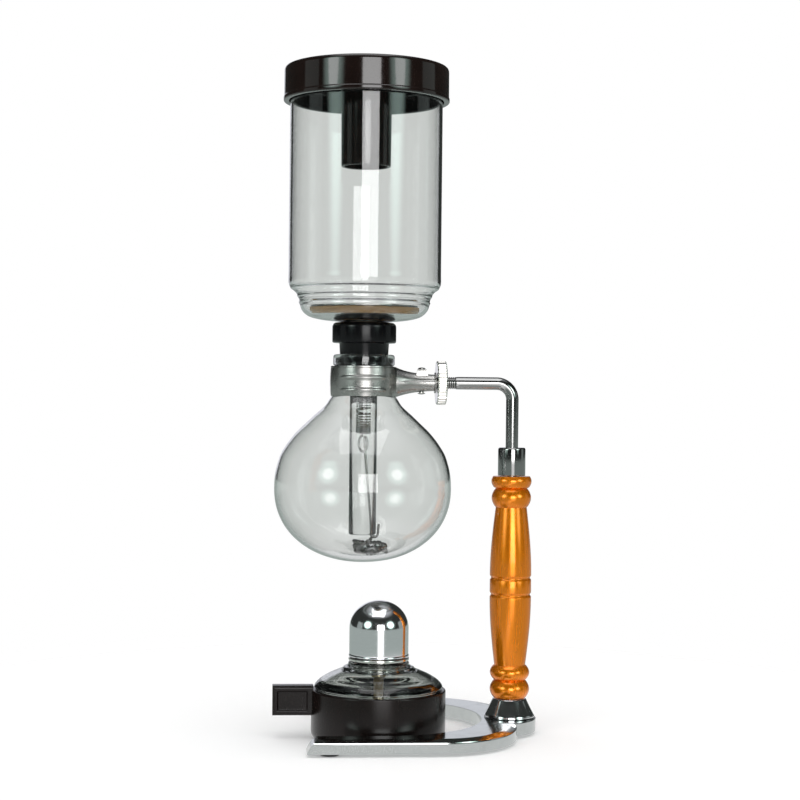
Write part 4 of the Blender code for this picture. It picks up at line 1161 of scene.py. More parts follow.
# ---------------------------------------------------------------- glassware
@dataclass
class Globe:
    """The lower glass: an onion-shaped globe with a short flared neck and a thick lip."""

    place: Place = field(default_factory=lambda: Place.of("lower_globe"))
    wall: float = 1.0 * MM
    lower_height: float = 36.6 * MM
    upper_height: float = 45.8 * MM
    flare: float = 16.0 * MM
    neck: float = 14.2 * MM
    neck_bore: float = 12.1 * MM
    lip: float = 15.4 * MM
    lip_height: float = 5.45 * MM
    neck_low: float = 173.0 * MM
    crown: tuple[tuple[float, float], ...] = (
        (0.889, 0.442), (0.801, 0.544), (0.714, 0.639), (0.627, 0.734), (0.539, 0.813), (0.452, 0.877),
        (0.365, 0.929), (0.277, 0.960), (0.190, 0.983), (0.100, 0.996))

    def side(self, inset: float) -> np.ndarray:
        """Return the side from the neck to the floor.

        The belly is a superellipse below the widest circle.  Above it a smooth curve goes through the
        crown's points, which are shares of the height and the radius, and the neck's flare.

        Args:
            inset: how far inside the outer surface.

        Returns:
            (count, 2) array of radius and height.
        """
        wide = self.place.radius - inset
        middle = self.place.low[2] + self.lower_height
        crown = np.array(self.crown) * (self.upper_height - inset, wide)
        b = np.linspace(0, np.pi / 2, 48)
        lower = np.stack([wide * np.cos(b) ** 0.93,
                          middle - (self.lower_height - inset) * np.sin(b) ** 0.93], 1)
        lower[-1] = (0, middle - self.lower_height + inset)
        low = self.neck_low
        throat = self.neck if not inset else self.neck_bore
        neck = [(throat, low + 1.0 * MM), (throat + 0.15 * MM, low - 1.0 * MM),
                (self.flare - 0.9 * MM - inset, low - 3.4 * MM), (self.flare - inset, low - 5.0 * MM),
                (self.flare + 1.3 * MM - inset, low - 7.1 * MM)]
        upper = flow(neck + [(r, middle + z) for z, r in crown] + [(wide, middle)], 8)
        return np.vstack([upper[:-1], lower])

    def build(self) -> int:
        """Blow the globe: outer side down to the floor, then the inner side up to the lip.

        Returns:
            How many pieces there are.
        """
        top = self.place.high[2]
        lip_low = top - self.lip_height
        line = Outline().to(self.neck_bore, top, 0.9 * MM).to(self.lip, top, 1.5 * MM)
        line.to(self.lip, lip_low, 1.4 * MM).to(self.neck, lip_low - 0.2 * MM, 0.6 * MM)
        line.to(self.neck, self.neck_low + 2.0 * MM)
        outside = np.vstack([line.line(), self.side(0)])
        inside = self.side(self.wall)[::-1]
        wall = np.vstack([outside, inside, [[self.neck_bore, self.neck_low + 2.0 * MM]]])
        skin = two_pole_shell(wall, len(outside) - 1, 160)
        x, y, _ = self.place.centre
        make_piece("globe_glass", skin.moved((x, y, 0)), GLASS, "lower_globe", 60)
        return 1


def two_pole_shell(line: np.ndarray, pole: int, steps: int) -> Skin:
    """Turn a closed line that touches the axis at two points next to each other, outside and inside.

    Args:
        line: (count, 2) radius and height; rows pole and pole + 1 are on the axis.
        pole: the row of the outer pole.
        steps: points round a circle.

    Returns:
        The shell: every other row turned into a circle, with a fan at each pole.
    """
    return lathe(np.roll(line, -(pole + 1), 0), steps)


@dataclass
class UpperGlass:
    """The upper glass with its stem, the rubber stopper, and the wire and ball chain below."""

    bowl: Place = field(default_factory=lambda: Place.of("upper_bowl"))
    stopper: Place = field(default_factory=lambda: Place.of("rubber_stopper"))
    spring: Place = field(default_factory=lambda: Place.of("filter_spring"))
    glass_x: float = -75.0 * MM
    wall: float = 1.5 * MM
    stem: float = 6.85 * MM
    stem_bore: float = 6.0 * MM
    wire_bore: float = 5.25 * MM
    plug: float = 12.12 * MM
    plug_tip: float = 10.8 * MM
    flange_height: float = 10.5 * MM
    lip_top: float = 188.75 * MM
    floor: float = 89.7 * MM
    beads: int = 150
    bead: float = 0.9 * MM
    bead_pitch: float = 2.0 * MM
    bead_link: float = 0.28 * MM
    heap: tuple[float, float] = (6.2 * MM, 2.2 * MM)
    heap_height: float = 5.6 * MM

    def make_bowl(self) -> bpy.types.Object:
        """Turn the bowl: a straight wall, a stepped foot, and a stem that is open at its tip.

        The foot's outside is a smooth curve through a row of steps, and three soft rings stand on it;
        the inside follows it one wall further in.

        Returns:
            The bowl.
        """
        rim, tip, wide = self.bowl.high[2], self.bowl.low[2], self.bowl.radius
        seat = self.stopper.high[2] + 0.3 * MM

        def foot(inset: float) -> np.ndarray:
            """Return the foot's curve from the straight wall down to the stopper, moved in by an inset.

            Args:
                inset: how far inside the outer surface.

            Returns:
                (count, 2) points of the curve.
            """
            r = wide
            seat = self.stopper.high[2]
            outer = flow([(r, seat + 24.0 * MM), (r, seat + 19.8 * MM), (r - 0.9 * MM, seat + 17.4 * MM),
                          (r - 3.4 * MM, seat + 15.0 * MM), (r - 4.6 * MM, seat + 13.2 * MM),
                          (r - 5.4 * MM, seat + 11.0 * MM), (r - 5.8 * MM, seat + 8.4 * MM),
                          (r - 6.6 * MM, seat + 6.2 * MM), (r - 8.3 * MM, seat + 4.2 * MM),
                          (r - 11.0 * MM, seat + 2.6 * MM), (r - 16.0 * MM, seat + 1.4 * MM),
                          (16.0 * MM, seat + 0.7 * MM)], 8)
            return inward(outer, inset)

        def with_rings(line: np.ndarray, size: float) -> np.ndarray:
            """Raise three soft rings on a line, each a bell curve of height.

            Args:
                line: (count, 2) radius and height.
                size: how far the rings stand out.

            Returns:
                The line with its rings.
            """
            out = line.copy()
            for height in (16.4 * MM, 12.6 * MM, 9.4 * MM):
                out[:, 0] += size * np.exp(-((line[:, 1] - seat - height) / (0.6 * MM)) ** 2)
            return out

        neck = flow([(16.0 * MM, seat + 0.4 * MM), (12.0 * MM, seat + 0.0 * MM), (9.3 * MM, seat - 0.7 * MM),
                     (self.stem + 0.5 * MM, seat - 2.4 * MM), (self.stem, seat - 4.0 * MM)], 6)[1:]
        inner = flow([(self.stem_bore, seat - 3.0 * MM), (self.stem_bore + 0.7 * MM, seat - 0.6 * MM),
                      (self.stem_bore + 3.2 * MM, seat + 1.2 * MM), (14.8 * MM, seat + 1.75 * MM)], 6)
        shell = wide - self.wall
        outside = np.vstack([[[wide - 0.85 * MM, rim], [wide - 0.3 * MM, rim - 0.15 * MM],
                              [wide, rim - 0.7 * MM], [wide, rim - 3.0 * MM]],
                             with_rings(foot(0), 0.35 * MM), neck])
        end = [[self.stem, tip + 0.6 * MM], [self.stem - 0.3 * MM, tip + 0.1 * MM],
               [self.stem - 0.8 * MM, tip], [self.stem_bore + 0.3 * MM, tip + 0.1 * MM],
               [self.stem_bore, tip + 0.6 * MM]]
        inside = np.vstack([inner, with_rings(foot(self.wall), -0.2 * MM)[::-1],
                            [[shell, rim - 3.0 * MM], [shell, rim - 0.7 * MM],
                             [shell + 0.3 * MM, rim - 0.15 * MM]]])
        skin = lathe(np.vstack([outside, end, inside]), 160)
        return make_piece("bowl_glass", skin.moved((self.glass_x, 0, 0)), GLASS, "upper_bowl", 60)

    def make_stopper(self) -> bpy.types.Object:
        """Turn the stopper: a rounded flange and a tapered plug.

        Returns:
            The piece.
        """
        low, high, wide = self.stopper.low[2], self.stopper.high[2], self.stopper.radius
        shelf, bore = high + 0.3 * MM - self.flange_height, self.stem + 0.3 * MM
        line = Outline().to(bore + 2.8 * MM, high - 0.5 * MM, 0.6 * MM).to(wide - 1.2 * MM, high, 0.9 * MM)
        line.to(wide, high - 1.4 * MM, 1.2 * MM).to(wide, shelf, 1.0 * MM)
        line.to(self.plug + 0.3 * MM, shelf, 0.7 * MM).to(self.plug, self.lip_top)
        line.to(self.plug, self.lip_top - 8.0 * MM, 3.0 * MM).to(self.plug_tip, low, 0.8 * MM)
        line.to(bore, low, 0.4 * MM).to(bore, high - 3.8 * MM, 1.0 * MM)
        skin = lathe(line.line(), 128)
        return make_piece("stopper_rubber", skin.moved((self.glass_x, 0, 0)), RUBBER, "rubber_stopper")

    def make_hook(self) -> bpy.types.Object:
        """Bend the wire: an eye under the spring, a straight run down the stem, a hook round its rim.

        Returns:
            The piece.
        """
        wall = (self.stem + self.wire_bore) / 2
        wire = 0.6 * MM
        inner = self.wire_bore - wire - 0.4 * MM
        swing = wall - inner
        top = self.spring.low[2] - wire - 0.3 * MM
        eye, tip = 4.0 * MM, self.bowl.low[2]
        a = math.pi + 2 * math.pi * 0.9 * np.linspace(0, 1, 25)
        loop = np.stack([eye * 0.55 * np.sin(a), 0 * a, top - eye - eye * np.cos(a)], 1)
        b = math.pi + math.pi * np.linspace(0, 1, 14)
        under = np.stack([wall + swing * np.cos(b), 0 * b, tip + 0.4 * MM + swing * np.sin(b)], 1)
        straight = flow([loop[-1], (0.8 * MM, 0, loop[-1][2] - 4.0 * MM), (inner, 0, tip + 8.0 * MM),
                         under[0]], 8)
        end = under[-1] + np.array([[0.2, 0, 2.2], [0.4, 0, 4.8]]) * MM
        path = np.vstack([loop[:-1], straight[:-1], under, end])
        skin = sweep(path, wire, (0, 1, 0), 12).moved((self.glass_x, 0, 0))
        return make_piece("hook_wire_bent", skin, SPRING_STEEL, "hook_wire", 50)

    def make_chain(self) -> bpy.types.Object:
        """String the ball chain: heaped on the globe's floor, then up to the hook.

        Each ball lies one pitch further round the heap, whose radius swells and shrinks as a cosine
        of the turns while it climbs.

        Returns:
            The chain.
        """
        turn, spots = 0.0, []
        middle, swell = self.heap
        for i in range(self.beads):
            reach = middle + swell * math.cos(1.9 * turn / TAU * 1.7 + 0.4)
            height = self.heap_height * i / self.beads + 0.35 * MM * math.sin(2.3 * turn)
            bank = 0.25 * max(0.0, reach - 6.0 * MM)
            spots.append((4.0 * MM + reach * math.cos(turn), reach * math.sin(turn),
                          self.floor - 0.6 * MM + height + bank))
            turn += self.bead_pitch / reach
        last = np.array(spots[-1])
        hook = np.array([self.wire_bore + 0.6 * MM, 0, self.bowl.low[2] - 1.2 * MM])
        rise = np.linspace(0, 1, max(3, int(np.linalg.norm(hook - last) / self.bead_pitch)))[1:, None]
        spots = np.vstack([spots, last + (hook - last) * rise]) + (self.glass_x, 0, 0)
        t = np.linspace(0, np.pi, 7)
        ball = lathe(self.bead * np.stack([np.sin(t).clip(0), np.cos(t)], 1), 10)
        skin = ball.moved(spots[0])
        for before, spot in zip(spots, spots[1:]):
            skin = skin + ball.moved(spot)
            skin = skin + sweep(np.linspace(before, spot, 3), self.bead_link, (0.31, 0.17, 0.93), 6)
        return make_piece("ball_chain", skin, SPRING_STEEL, "bead_chain", 40)

    def build(self) -> int:
        """Make every piece of the upper glass and return how many there are."""
        return len([self.make_bowl(), self.make_stopper(), self.make_hook(), self.make_chain()])


@dataclass
class Filter:
    """The cloth filter in the bowl: two plates with the cloth between them, a stud and its spring."""

    cloth: Place = field(default_factory=lambda: Place.of("filter_cloth"))
    upper: Place = field(default_factory=lambda: Place.of("filter_upper_plate"))
    lower: Place = field(default_factory=lambda: Place.of("filter_lower_plate"))
    stud: Place = field(default_factory=lambda: Place.of("filter_stud"))
    spring: Place = field(default_factory=lambda: Place.of("filter_spring"))
    glass_x: float = -75.0 * MM
    stud_radius: float = 0.9 * MM
    nut_radius: float = 2.7 * MM
    spring_radius: float = 3.4 * MM
    wire: float = 0.4 * MM
    turns: int = 22

    def make_cloth(self) -> bpy.types.Object:
        """Wrap the cloth round the lower plate, and draw it together below on the stud.

        Its edge is gathered: towards the rim its height waves round the circle, and its radius too.

        Returns:
            The cloth.
        """
        high, wide = self.cloth.high[2], self.cloth.radius
        plate, bore = self.lower.low[2], self.stud_radius + 0.3 * MM
        under = flow([(wide + 0.1 * MM, plate + 0.9 * MM), (wide, plate - 0.1 * MM),
                      (wide - 1.2 * MM, plate - 0.8 * MM), (wide - 4.2 * MM, plate - 1.7 * MM),
                      (wide - 9.0 * MM, plate - 2.3 * MM), (wide - 15.0 * MM, plate - 2.7 * MM),
                      (bore, plate - 3.0 * MM)], 12)
        over = np.linspace((bore, high - 0.1 * MM), (wide - 0.8 * MM, high), 20)
        back = inward(under, 0.35 * MM)[::-1]
        shelf = np.linspace((wide - 0.9 * MM, high - 0.95 * MM), (bore, high - 1.1 * MM), 16)
        profile = np.vstack([over, [[wide, high - 0.3 * MM]], under, back[:-6], shelf])

        def gather(radius: np.ndarray, height: np.ndarray,
                   angle: np.ndarray) -> tuple[np.ndarray, np.ndarray]:
            """Wave the height round the edge.

            Args:
                radius: radii.
                height: heights.
                angle: angles round the piece.

            Returns:
                The new radii and heights.
            """
            share = soft_step(radius, 23.0 * MM, wide)
            wave = np.sin(23 * angle) * 0.10 * MM + np.sin(41 * angle + 1.0) * 0.06 * MM
            return radius + share * 0.25 * MM * np.sin(17 * angle), height + share * wave

        skin = lathe(profile, 192, gather).moved((self.glass_x, 0, 0))
        piece = make_piece("cloth_disc", skin, FLANNEL, "filter_cloth", 60)
        return piece

    def make_plates(self) -> int:
        """Dress the two perforated plates, whose own shape is right."""
        for node in ("filter_upper_plate", "filter_lower_plate"):
            dress(node, CLAMP_STEEL)
        return 2

    def make_stud(self) -> bpy.types.Object:
        """Turn the stud with the nut that holds the plates.

        Returns:
            The piece.
        """
        low, high = self.stud.low[2], self.stud.high[2]
        r, nut, base = self.stud_radius, self.nut_radius, self.upper.high[2] + 0.3 * MM
        line = Outline().to(0, high).to(r, high, 0.2 * MM).to(r, high - 0.4 * MM)
        line.to(nut, high - 0.5 * MM, 0.5 * MM).to(nut, base, 0.2 * MM).to(r, base)
        line.to(r, low, 0.2 * MM).to(0, low)
        skin = lathe(line.line(), 48).moved((self.glass_x, 0, 0))
        return make_piece("stud_turning", skin, WIRE_STEEL, "filter_stud", 40)

    def make_spring(self) -> bpy.types.Object:
        """Wind the spring: (R cos a, R sin a, z) with z in step with a, close-wound at both ends.

        Returns:
            The piece.
        """
        low, high = self.spring.low[2] + self.wire, self.spring.high[2] - self.wire
        t = np.linspace(0, 1, self.turns * 28 + 1)
        a = t * self.turns * TAU
        rise = t - 0.35 * np.sin(TAU * t) / TAU
        path = np.stack([self.spring_radius * np.cos(a), self.spring_radius * np.sin(a),
                         low + (high - low) * rise], 1)
        skin = sweep(path, self.wire, (0, 0, 1), 10).moved((self.glass_x, 0, 0))
        piece = make_piece("spring_coil", skin, SPRING_STEEL, "filter_spring", 50)
        piece.parent = None
        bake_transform(piece)
        return piece

    def build(self) -> int:
        """Make every piece of the filter and return how many there are."""
        return self.make_plates() + len([self.make_cloth(), self.make_stud(), self.make_spring()])


def dress(node: str, finish: Finish) -> None:
    """Give a shown node of the model a finish.

    Args:
        node: the node.
        finish: the finish.
    """
    shown = frame["nodes"][node]
    shown.data.materials.clear()
    shown.data.materials.append(finish.material())
    log.info("%-22s kept from the model", node)


@dataclass
class Lid:
    """The dark lid: a cap over the bowl's rim, with a locating ring and a hollow socket below it."""

    place: Place = field(default_factory=lambda: Place.of("lid"))
    top: float = 3.4 * MM
    skirt_bore: float = 38.7 * MM
    ring: float = 35.8 * MM
    ring_wall: float = 1.4 * MM
    ring_height: float = 6.0 * MM
    skirt_low: float = 314.8 * MM
    socket: float = 12.4 * MM
    socket_bore: float = 10.8 * MM

    def build(self) -> int:
        """Turn the lid, with the small shoulder round the foot of its skirt.

        Returns:
            How many pieces there are.
        """
        high, low, wide = self.place.high[2], self.place.low[2], self.place.radius
        under = high - self.top
        line = Outline().to(0, high).to(wide - 6.0 * MM, high, 2.0 * MM)
        line.to(wide - 5.4 * MM, high - 0.35 * MM, 0.4 * MM)
        line.to(wide - 4.4 * MM, high - 0.05 * MM, 0.6 * MM).to(wide - 0.35 * MM, high - 0.1 * MM, 2.2 * MM)
        line.to(wide - 0.3 * MM, self.skirt_low + 2.3 * MM, 0.25 * MM)
        line.to(wide, self.skirt_low + 1.9 * MM, 0.25 * MM).to(wide, self.skirt_low, 0.7 * MM)
        line.to(self.skirt_bore, self.skirt_low, 0.5 * MM).to(self.skirt_bore, under, 0.6 * MM)
        line.to(self.ring, under, 0.5 * MM).to(self.ring, under - self.ring_height, 0.5 * MM)
        line.to(self.ring - self.ring_wall, under - self.ring_height, 0.5 * MM)
        line.to(self.ring - self.ring_wall, under, 0.5 * MM).to(self.socket + 0.4 * MM, under, 1.0 * MM)
        line.to(self.socket, low, 0.6 * MM).to(self.socket_bore, low, 0.6 * MM)
        line.to(self.socket_bore, under, 0.8 * MM).to(0, under)
        x, y, _ = self.place.centre
        make_piece("lid_moulding", lathe(line.line(), 192).moved((x, y, 0)), PLASTIC, "lid", 40)
        return 1


# ---------------------------------------------------------------- spirit burner
@dataclass
class Burner:
    """The spirit burner: holder with its flat handle, glass bottle, collar, tube, wick and cap."""

    holder: Place = field(default_factory=lambda: Place.of("burner_holder"))
    bottle: Place = field(default_factory=lambda: Place.of("burner_glass"))
    collar: Place = field(default_factory=lambda: Place.of("wick_collar"))
    tube: Place = field(default_factory=lambda: Place.of("wick_tube"))
    wick: Place = field(default_factory=lambda: Place.of("wick"))
    cap: Place = field(default_factory=lambda: Place.of("snuffer_cap"))
    wall: float = 2.6 * MM
    floor: float = 2.2 * MM
    tab_half: float = 4.5 * MM
    tab_low: float = 11.6 * MM
    tab_high: float = 25.9 * MM
    panel_border: float = 2.2 * MM
    panel_depth: float = 0.8 * MM
    bottle_wall: float = 1.8 * MM
    shoulder: tuple[tuple[float, float], ...] = (
        (12.6, 0.0), (14.0, 0.1), (14.9, 0.8), (15.0, 1.7), (15.6, 2.5), (17.2, 3.0), (17.9, 3.9),
        (21.4, 5.4), (25.4, 7.2), (29.0, 9.4), (31.0, 11.4), (31.5, 12.8))
    hollow: tuple[tuple[float, float], ...] = (
        (10.8, 0.0), (10.8, 3.4), (12.4, 4.8), (17.0, 6.0), (21.0, 7.6), (24.8, 9.4), (28.0, 11.6))
    plug: float = 10.4 * MM
    cap_straight: float = 14.0 * MM
    cap_wall: float = 0.7 * MM

    def axis(self) -> tuple[float, float, float]:
        """Return the burner's axis."""
        x, y, _ = self.bottle.centre
        return x, y, 0.0

    def tab_skin(self) -> Skin:
        """Mould the flat handle: a block whose sides are a grid, sunk by a soft step inside its border.

        A point at (u, v) on a side stands off the middle plane by half the width, less the panel's
        depth where u and v are both inside the border; the ends are rounded by a superellipse.

        Returns:
            The handle as a closed block.
        """
        x, y, _ = self.axis()
        reach = self.holder.radius
        start, end = -reach + 1.0 * MM, self.holder.low[0] - x
        u, v = np.linspace(start, end, 90)[:, None], np.linspace(self.tab_low, self.tab_high, 70)[None]
        edge_u, edge_v = np.minimum(u - end, 1.0), np.minimum(v - self.tab_low, self.tab_high - v)
        round_by = 1.1 * MM

        def eased(gap: np.ndarray) -> np.ndarray:
            """Return how far an edge's quarter circle pulls the side in, for a gap to that edge."""
            short = np.clip(1 - gap / round_by, 0, 1)
            return 1 - np.sqrt(1 - short ** 2)

        pull = np.maximum(eased(edge_u), eased(edge_v)) * round_by
        inside = soft_step(edge_u, self.panel_border, self.panel_border + 0.7 * MM)
        inside = inside * soft_step(edge_v, self.panel_border, self.panel_border + 0.7 * MM)
        inside = inside * soft_step(-u - reach, self.panel_border - 0.5 * MM, self.panel_border + 0.2 * MM)
        half = self.tab_half - pull - self.panel_depth * inside
        fronts = np.stack(np.broadcast_arrays(u, -half, v), -1)
        backs = np.stack(np.broadcast_arrays(u, half, v), -1)
        return two_sided(fronts, backs).moved((x, y, 0))

    def make_holder(self) -> bpy.types.Object:
        """Turn the holder's cup, and put its handle on it.

        Returns:
            The piece.
        """
        wide, high = self.holder.radius, 24.0 * MM
        inner = wide - self.wall
        line = Outline().to(0, self.floor).to(inner, self.floor, 1.5 * MM).to(inner, high, 0.6 * MM)
        line.to(wide, high, 0.8 * MM).to(wide, 0, 4.0 * MM).to(wide - 8.0 * MM, 0, 1.0 * MM)
        line.to(wide - 9.0 * MM, 0.5 * MM, 0.4 * MM).to(0, 0.5 * MM)
        skin = lathe(line.line(), 160).moved(self.axis()) + self.tab_skin()
        return make_piece("holder_moulding", skin, SATIN_PLASTIC, "burner_holder", 40)

    def make_bottle(self) -> bpy.types.Object:
        """Blow the bottle: low, with rounded shoulders and a short ground neck, open at the top.

        Returns:
            The piece.
        """
        low, high, wide = self.bottle.low[2], self.bottle.high[2], self.bottle.radius

        def foot(inset: float) -> np.ndarray:
            """Return the rounded foot and the floor, moved in by an inset.

            Args:
                inset: how far inside the outer surface.

            Returns:
                (count, 2) points of the curve.
            """
            r = wide - inset
            return flow([(r, low + 18.0 * MM), (r, low + 4.0 * MM),
                         (r - 0.8 * MM, low + 1.4 * MM + 0.6 * inset),
                         (r - 3.0 * MM, low + inset), (r - 6.0 * MM, low + inset)], 6)

        dome = flow([(r * MM, high - drop * MM) for r, drop in self.shoulder]
                    + [(wide + 0.2 * MM, high - 13.8 * MM), (wide, high - 15.2 * MM)], 8)
        hollow = flow([(r * MM, high - drop * MM) for r, drop in self.hollow]
                      + [(wide - self.bottle_wall, high - 15.4 * MM)], 8)
        outside = np.vstack([dome, foot(0), [[0, low]]])
        inside = np.vstack([hollow, foot(self.bottle_wall), [[0, low + self.bottle_wall]]])
        line = np.vstack([outside, inside[::-1]])
        skin = two_pole_shell(line, len(outside) - 1, 160).moved(self.axis())
        return make_piece("bottle_blown", skin, BOTTLE_GLASS, "burner_glass", 60)

    def make_wick(self) -> list[bpy.types.Object]:
        """Turn the collar, tube and braided wick.

        Returns:
            The collar, the tube and the wick.
        """
        low, high, wide = self.collar.low[2], self.collar.high[2], self.collar.radius - 1.9 * MM
        tube, bore = self.tube.radius, self.tube.radius - 0.6 * MM
        plate = high - 1.4 * MM
        line = Outline().to(tube + 0.3 * MM, high, 0.2 * MM).to(wide - 3.0 * MM, high, 0.3 * MM)
        line.to(wide, high, 0.5 * MM).to(wide, plate, 0.4 * MM).to(self.plug, plate, 0.3 * MM)
        line.to(self.plug, low, 0.5 * MM).to(tube + 0.3 * MM, low)
        skin = lathe(line.line(), 128).moved(self.axis())
        made = [make_piece("collar_turning", skin, NICKEL, "wick_collar")]
        low, high = self.tube.low[2], self.tube.high[2]
        line = Outline().to(bore, high, 0.2 * MM).to(tube, high, 0.25 * MM)
        line.to(tube, low, 0.2 * MM).to(bore, low)
        made.append(make_piece("tube_turning", lathe(line.line(), 64).moved(self.axis()), BRASS, "wick_tube"))
        low, high, thick = self.wick.low[2], self.wick.high[2], self.wick.radius
        z = np.linspace(high, low, 260)
        crown = np.clip((high - z) / (1.2 * MM), 0, 1)
        profile = np.column_stack([thick * np.sqrt(1 - (1 - crown) ** 2), z])
        profile = np.vstack([profile, [[0, low]]])
        profile[0, 0] = 0

        def braid(radius: np.ndarray, height: np.ndarray, angle: np.ndarray) -> tuple[np.ndarray, np.ndarray]:
            """Plait the surface: two waves that wind opposite ways, sunk where they cross."""
            turn = height / (4.2 * MM) * TAU
            wave = np.abs(np.sin(2 * angle + turn / 2) * np.sin(2 * angle - turn / 2))
            return radius * (1 - 0.16 * (1 - wave)), height

        skin = lathe(profile, 48, braid).moved(self.axis())
        made.append(make_piece("wick_braid", skin, COTTON, "wick", 80))
        return made

    def make_cap(self) -> bpy.types.Object:
        """Draw the cap: a straight wall with a rolled rim, under a dome of a quarter ellipse.

        Returns:
            The piece.
        """
        low, high, rim = self.cap.low[2], self.cap.high[2], self.cap.radius
        wide = rim - 0.45 * MM
        knee = low + self.cap_straight
        t = np.linspace(0, np.pi / 2, 30)
        dome = np.stack([wide * np.sin(t), knee + (high - knee) * np.cos(t)], 1)
        thin = self.cap_wall
        under = np.stack([(wide - thin) * np.sin(t), knee + (high - knee - thin) * np.cos(t)], 1)[::-1]
        a = np.linspace(np.pi * 0.75, -np.pi * 0.9, 18)
        roll = np.stack([wide - 0.30 * MM + 0.55 * MM * np.cos(a),
                         low + 0.75 * MM + 0.75 * MM * np.sin(a)], 1)
        roll = roll[roll[:, 0] > wide - 0.2 * MM]
        line = np.vstack([dome, [[wide, low + 1.9 * MM]], roll, [[wide - thin, low + 0.6 * MM]], under])
        return make_piece("cap_drawn", lathe(line, 128).moved(self.axis()), CHROME, "snuffer_cap", 40)

    def build(self) -> int:
        """Make every piece of the burner and return how many there are."""
        return len([self.make_holder(), self.make_bottle(), self.make_cap()] + self.make_wick())


